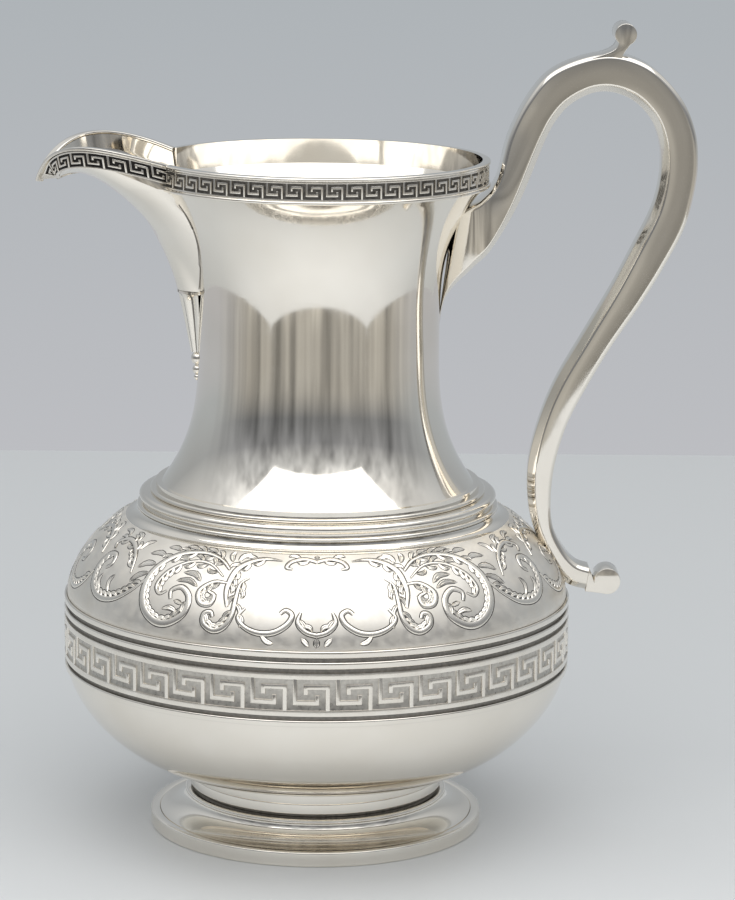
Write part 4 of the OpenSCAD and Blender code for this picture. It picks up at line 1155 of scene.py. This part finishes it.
class EWER_OT_spout(bpy.types.Operator):
    """Makes the spout: sheet, lip wire, two key bands, and the drop with its beads"""

    bl_idname = "ewer.spout"
    bl_label = "Spout"

    def execute(self, context):
        sizes, finish = settings(context)
        silver, groove = mirror_silver(finish), matt_silver(finish, "groove_tarnish")
        spout = Spout(sizes)
        bm = bmesh.new()
        laid_grid(bm, *SHEET_STEPS, lambda u, v: spout.point(u, 2 * v - 1))
        # Beaten even between its seam and the upright edge
        band_low = min(spout.flange(e, sizes.spout_band_h).z for e in (0, 0.5, 1))
        loose = [v for v in bm.verts if not v.is_boundary and v.co.z < band_low]
        for _ in range(EVEN_ROUNDS):
            bmesh.ops.smooth_vert(
                bm, verts=loose, factor=0.5, use_axis_x=True, use_axis_y=True, use_axis_z=True
            )
        bmesh.ops.recalc_face_normals(bm, faces=bm.faces)
        lowest = min(bm.faces, key=lambda f: f.calc_center_median().z)
        if lowest.normal.x > 0:
            bmesh.ops.reverse_faces(bm, faces=bm.faces)
        bmesh.ops.solidify(bm, geom=bm.faces[:], thickness=sizes.wall)
        self.solder_line(bm, sizes, spout)
        finish_piece("spout_shell", bm, "polished_silver", silver, groove)
        self.lip(sizes, spout, silver)
        for name, side in (("spout_band_right", 1), ("spout_band_left", -1)):
            self.band(name, side, sizes, spout, finish)
        self.drop(sizes, silver, groove)
        return {"FINISHED"}

    def solder_line(self, bm, sizes, spout):
        """Adds the thin dark line where the sheet leaves the neck, along both sides."""
        ring = [Matrix.Rotation(TURN * j / 6, 3, "Z") @ Vector((SOLDER_R, 0, 0)) for j in range(6)]
        for side in (1, -1):
            spots = []
            for e in spread(SOLDER_FROM, SOLDER_TO, SOLDER_STEPS):
                sheet = [spout.point(j / SOLDER_SEARCH, side * e) for j in range(SOLDER_SEARCH // 2)]
                clear = [p for p in sheet if p.to_2d().length > neck_r_at(sizes, p.z)]
                spots.append(clear[0] if clear else sheet[0])
            swept(bm, [[spot + p for p in ring] for spot in spots], paint=lambda column: 1)

    def lip(self, sizes, spout, silver):
        lip_r, low, high = outer("rim_lip_wire")
        rise = high - low
        outline = boxed(-sizes.wall, lip_r - spout.rim_r, 0, rise, rise / 2)
        sections = [
            [spout.edge(e) + spout.edge_out(e) * p.x + Vector((0, 0, p.y)) for p in outline]
            for e in spread(-1, 1, LIP_STEPS)
        ]
        bm = bmesh.new()
        swept(bm, sections)
        finish_piece("spout_lip_wire", bm, "polished_silver", silver)

    def band(self, name, side, sizes, spout, finish):
        rail, ground, height = sizes.rim_rail_h, sizes.rim_ground_t, sizes.spout_band_h
        relief, row = outer("rim_key_band")[0] - spout.rim_r, spout.lengths[-1]
        outline = eased(railed(height, rail, relief, ground), sizes.ease / 3, steps=2)
        # Low faces of the field keep the dark spout ground, oxide with painted shade in the recess
        low = [rail < p.x < height - rail and p.y < (ground + relief) / 2 for p in outline]
        bm = bmesh.new()
        swept(
            bm, [[spout.band(t, p.x, p.y, side) for p in outline] for t in spread(0, 1, BAND_STEPS)],
            paint=lambda column: 0 if low[column] and low[column + 1 - len(low)] else 1,
        )
        hook = key_hook(sizes, row / sizes.spout_keys, height - 2 * rail, rail, relief, ground)

        def on_sheet(share, along, up, out):
            return spout.band(share - side * along / row, height / 2 - up, ground * HOOK_FOOT + out, side)

        lay_hooks(bm, hook, sizes.spout_keys, on_sheet)
        finish_piece(name, bm, "oxidised_silver", matt_silver(finish, "spout_ground"), satin_silver(finish))

    def drop(self, sizes, silver, groove):
        """Ledge round the toe, then flutes that taper to the beads."""
        low, high = cad_box("spout_drop")
        wall, columns = sizes.wall, FLUTES * FLUTE_STEPS
        sections = []
        for t, rise, stand in [*LEDGE_ROWS, *((t, 0, 1) for t in spread(0, 1, DROP_STEPS)[1:])]:
            z = mix(high.z, low.z, t) + rise * MM
            side = mix(high.y, DROP_END_HALF_W, t**DROP_POWER) * stand
            out = mix(TOE_OUT, DROP_END_OUT, t) * stand
            back = neck_r_at(sizes, z) - wall / 2
            flute = FLUTE_DEPTH * min(1, FLUTE_RUN_IN * t)
            ring = []
            for a in spread(-QUARTER, QUARTER, columns):
                cut = flute * (1 - math.cos(2 * FLUTES * a)) / 2
                x, y = math.cos(a), side * math.sin(a)
                ring.append(Vector((-back - (out + wall / 2) * x + out * x * cut, y - y * cut, z)))
            sections.append(ring)
        # Two columns in the middle of each flute are dark: painted shade in the flute hollows, in the dark
        # groove material
        middle = (FLUTE_STEPS // 2 - 1, FLUTE_STEPS // 2)
        dark = {column for column in range(columns) if column % FLUTE_STEPS in middle}
        bm = bmesh.new()
        swept(bm, sections, paint=lambda column: 1 if column in dark else 0)
        finish_piece("spout_drop", bm, "polished_silver", silver, groove)
        bm = bmesh.new()
        for share, depth in BEADS:
            z = low.z - depth * BEAD_R
            bmesh.ops.create_uvsphere(
                bm, u_segments=24, v_segments=16, radius=share * BEAD_R,
                matrix=Matrix.Translation((-neck_r_at(sizes, z), 0, z)),
            )
        finish_piece("spout_drop_beads", bm, "polished_silver", silver)


class EWER_OT_handle(bpy.types.Operator):
    """Makes the handle's two halves, its thumb scroll and its tail scroll"""

    bl_idname = "ewer.handle"
    bl_label = "Handle"

    def execute(self, context):
        sizes, finish = settings(context)
        silver = mirror_silver(finish)
        rows = self.rows(sizes)
        outers, inners, widths = (through([row[k] for row in rows], HANDLE_STEPS) for k in range(3))
        for name, side in (("handle_right_half", 1), ("handle_left_half", -1)):
            sections = []
            for a, b, w in zip(outers, inners, widths):
                across = (a - b).normalized()
                sections.append([
                    self.beside_neck(sizes, Vector((b.x + across.x * p.x, side * p.y, b.y + across.y * p.x)))
                    for p in self.section((a - b).length, w.x, sizes.ease * 2)
                ])
            bm = bmesh.new()
            swept(bm, sections)
            finish_piece(name, bm, "polished_silver", silver)
        self.thumb(sizes, rows, silver)
        self.tail(sizes, rows, silver)
        return {"FINISHED"}

    def beside_neck(self, sizes, spot):
        """Moves a point of the root out of the neck, to the middle of the neck's sheet."""
        reach = math.sqrt((neck_r_at(sizes, spot.z) - sizes.wall / 2) ** 2 - spot.y**2)
        over_collar = spot.z > outer("collar_upper_bead")[2]
        return Vector((max(spot.x, reach), spot.y, spot.z)) if over_collar else spot

    def rows(self, sizes):
        """Rows along the handle as outer edge and inner edge in side view, and half width."""
        belly_r = outer("lower_bowl")[0]
        rim_z = outer("rim_lip_wire")[2]
        shoulder = ShoulderWall()
        overhang = cad_box("handle_right_half")[1].x - belly_r
        rise = cad_box("handle_thumb_scroll")[1].z - rim_z
        shoulder_h = outer("shoulder_shell")[2] - shoulder.low
        placed = [(row, sizes.neck_waist_r, rim_z, rise) for row in ROOT_ROWS]
        placed += [(row, belly_r, rim_z, rise) for row in ARCH_ROWS]
        placed += [(row, belly_r, shoulder.low, rim_z - shoulder.low) for row in LEG_ROWS]
        for row in TAIL_ROWS:
            face_r = shoulder.radius_at(shoulder.low + row[3] * shoulder_h)
            placed.append((row, face_r, shoulder.low, shoulder_h))
        return [
            (
                Vector((x0 + row[0] * overhang, z0 + row[1] * height)),
                Vector((x0 + row[2] * overhang, z0 + row[3] * height)),
                Vector((row[4] * sizes.handle_w / 2, 0)),
            )
            for row, x0, z0, height in placed
        ]

    def section(self, thickness, half_w, ease):
        """Half of the eight-sided section, from the inner edge to the outer edge."""
        cut_w, cut_in = min(CUT_W, CUT_W_MOST * half_w), min(CUT_IN, CUT_IN_MOST * thickness)
        cut_out = min(CUT_OUT, CUT_W_MOST * half_w)
        corners = [
            (0, 0), (0, half_w - cut_w), (cut_in, half_w), (thickness - cut_out, half_w),
            (thickness, half_w - cut_out), (thickness, 0),
        ]
        return eased(corners, ease, steps=4, ends=False)

    def thumb(self, sizes, rows, silver):
        notch = rows[len(ROOT_ROWS) + THUMB_ROW][0]
        height = cad_box("handle_thumb_scroll")[1].z - notch.y
        knob = notch + Vector((THUMB_KNOB * height, height - THUMB_KNOB_R))
        left = through([notch + Vector(p) * height for p in THUMB_LEFT], THUMB_STEPS)
        right = [notch + Vector(p) * height for p in THUMB_RIGHT]
        turn = self.knob(knob, THUMB_KNOB_R, *THUMB_TURN)
        self.scroll("handle_thumb_scroll", sizes, [*left, *turn, *right], THUMB_W, silver)

    def tail(self, sizes, rows, silver):
        outer_end, inner_end, _ = rows[-1]
        across = outer_end - inner_end
        along = Vector((across.y, -across.x))
        knob, notch = (inner_end + along * a + across * b for a, b in (TAIL_KNOB, TAIL_NOTCH))
        lean = math.degrees(math.atan2(across.y, across.x))
        turn = self.knob(knob, TAIL_KNOB_R, *(lean + by for by in TAIL_TURN))
        self.scroll("handle_tail_scroll", sizes, [outer_end, notch, *turn, inner_end], TAIL_W, silver)

    def knob(self, middle, radius, start, end):
        turns = [math.radians(degrees) for degrees in spread(start, end, KNOB_STEPS)]
        return [middle + Vector((math.cos(a), math.sin(a))) * radius for a in turns]

    def scroll(self, name, sizes, outline, width, silver):
        """Comma-shaped scroll: an outline that runs round a knob, drawn out across the handle."""
        bm = bmesh.new()
        face = bm.faces.new([bm.verts.new((p.x, -width / 2, p.y)) for p in outline])
        drawn_out(bm, [face], (0, width, 0))
        sides = [f for f in bm.faces if abs(f.normal.y) > 0.9]
        brim = {edge for side in sides for edge in side.edges}
        rounded(bm, list(brim), sizes.ease * 3, 4)
        finish_piece(name, bm, "polished_silver", silver)


class EWER_OT_stage(bpy.types.Operator):
    """Sets the pale table, the soft studio light and the camera"""

    bl_idname = "ewer.stage"
    bl_label = "Stage"

    def execute(self, context):
        scene, stage = context.scene, context.scene.ewer_stage
        self.table(scene, stage)
        self.world(scene)
        self.lamp(scene, "overhead", (0, -0.5, 1.5), (0, -0.2, 0), (2.6, 2.2), stage.lamp_power)
        fill = self.lamp(scene, "front_fill", (0, -1.6, 0.9), (0, -0.1, 0), (1.6, 1), stage.fill_power)
        # Lights the table under the belly, but is not mirrored in the silver
        fill.visible_glossy = False
        lens = bpy.data.cameras.new("camera")
        lens.lens, lens.sensor_width = LENS, SENSOR
        lens.dof.use_dof = False
        camera = bpy.data.objects.new("camera", lens)
        scene.collection.objects.link(camera)
        camera.matrix_world = (
            Matrix.Translation((0, -stage.camera_distance, stage.camera_height))
            @ Matrix.Rotation(CAMERA_TURN, 4, "Z")
            @ Matrix.Rotation(CAMERA_PITCH, 4, "X")
            @ Matrix.Rotation(CAMERA_ROLL, 4, "Z")
        )
        scene.camera = camera
        scene.view_settings.view_transform = "Standard"
        return {"FINISHED"}

    def table(self, scene, stage):
        bm = bmesh.new()
        bmesh.ops.create_grid(bm, x_segments=1, y_segments=1, size=stage.table_half)
        mesh = bpy.data.meshes.new("table")
        bm.to_mesh(mesh)
        bm.free()
        material, tree, shader = new_material("pale_table")
        # Smooth pale sheet with painted shade that darkens it to the back, with a faint sheen that mirrors
        # the foot softly
        place = add_node(tree, "ShaderNodeTexCoord").outputs["Object"]
        depth = add_node(tree, "ShaderNodeSeparateXYZ", [("Vector", place)]).outputs["Y"]
        back_shade = ramp(tree, depth, 0, 1, -0.3, 0.1)
        clouds = ramp(tree, grain(tree, 0.12), 0, 0.06)
        share = add_node(tree, "ShaderNodeMath", [(0, back_shade), (1, clouds)], operation="ADD").outputs[0]
        tree.links.new(blend(tree, share, stage.table, stage.far_table_shaded), shader.inputs["Base Color"])
        shader.inputs["Roughness"].default_value = 0.35
        mesh.materials.append(material)
        table = bpy.data.objects.new("table", mesh)
        scene.collection.objects.link(table)

    def world(self, scene):
        """Room round the table: pale backdrop behind, a darker room in front, bright ceiling."""
        world = bpy.data.worlds.new("studio")
        world.use_nodes = True
        tree = world.node_tree
        way = add_node(tree, "ShaderNodeTexCoord").outputs["Generated"]
        parts = add_node(tree, "ShaderNodeSeparateXYZ", [("Vector", way)])
        height = ramp(tree, parts.outputs["Z"], 0, 1, -1, 1)
        backdrop = self.tones(tree, height, BACKDROP_TONES)
        room = self.tones(tree, height, ROOM_TONES)
        # Upright streaks break up the room in front
        drawn = add_node(tree, "ShaderNodeMapping", [("Vector", way), ("Scale", (7, 7, 0.8))]).outputs[0]
        streaks = add_node(
            tree, "ShaderNodeTexNoise", [("Vector", drawn), ("Scale", 1.0), ("Detail", 2.0)]
        ).outputs["Fac"]
        lift = ramp(tree, streaks, 0.55, 1.5)
        streaked = add_node(
            tree, "ShaderNodeVectorMath", [(0, room), (1, lift)], operation="MULTIPLY"
        ).outputs[0]
        front = ramp(tree, parts.outputs["Y"], 1, 0, -0.35, 0.35)
        shade = tree.nodes["Background"]
        tree.links.new(blend(tree, front, backdrop, streaked), shade.inputs["Color"])
        shade.inputs["Strength"].default_value = 1
        scene.world = world

    def tones(self, tree, source, stops):
        node = add_node(tree, "ShaderNodeValToRGB", [("Fac", source)])
        ladder = node.color_ramp.elements
        while len(ladder) < len(stops):
            ladder.new(0.5)
        for step, (place, code) in zip(ladder, stops):
            step.position, step.color = place, (*linear(code), 1)
        return node.outputs["Color"]

    def lamp(self, scene, name, place, aim, size, energy):
        light = bpy.data.lights.new(name, "AREA")
        light.shape, light.size, light.size_y, light.energy = "RECTANGLE", *size, energy
        lamp = bpy.data.objects.new(name, light)
        lamp.location = place
        lamp.rotation_euler = (Vector(aim) - Vector(place)).to_track_quat("-Z", "Y").to_euler()
        scene.collection.objects.link(lamp)
        return lamp


class EWER_PT_panel(bpy.types.Panel):
    bl_idname = "EWER_PT_panel"
    bl_label = "Silver ewer"
    bl_space_type = "VIEW_3D"
    bl_region_type = "UI"
    bl_category = "Ewer"

    def draw(self, context):
        for title, group in (("Sizes", "ewer_sizes"), ("Finish", "ewer_finish"), ("Stage", "ewer_stage")):
            box = self.layout.box()
            box.label(text=title)
            values = getattr(context.scene, group)
            for key in values.__annotations__:
                box.prop(values, key)
        for operator in OPERATORS:
            self.layout.operator(operator.bl_idname)


OPERATORS = (
    EWER_OT_foot, EWER_OT_body, EWER_OT_girdle, EWER_OT_collar, EWER_OT_neck, EWER_OT_spout, EWER_OT_handle,
    EWER_OT_stage,
)
CLASSES = (EwerSizes, EwerFinish, EwerStage, *OPERATORS, EWER_PT_panel)


def register():
    for cls in CLASSES:
        bpy.utils.register_class(cls)
    bpy.types.Scene.ewer_sizes = PointerProperty(type=EwerSizes)
    bpy.types.Scene.ewer_finish = PointerProperty(type=EwerFinish)
    bpy.types.Scene.ewer_stage = PointerProperty(type=EwerStage)


def unregister():
    for key in ("ewer_sizes", "ewer_finish", "ewer_stage"):
        delattr(bpy.types.Scene, key)
    for cls in reversed(CLASSES):
        bpy.utils.unregister_class(cls)


def main():
    register()
    for step in (
        bpy.ops.ewer.foot, bpy.ops.ewer.body, bpy.ops.ewer.girdle, bpy.ops.ewer.collar, bpy.ops.ewer.neck,
        bpy.ops.ewer.spout, bpy.ops.ewer.handle, bpy.ops.ewer.stage,
    ):
        step()


if __name__ == "__main__":
    main()
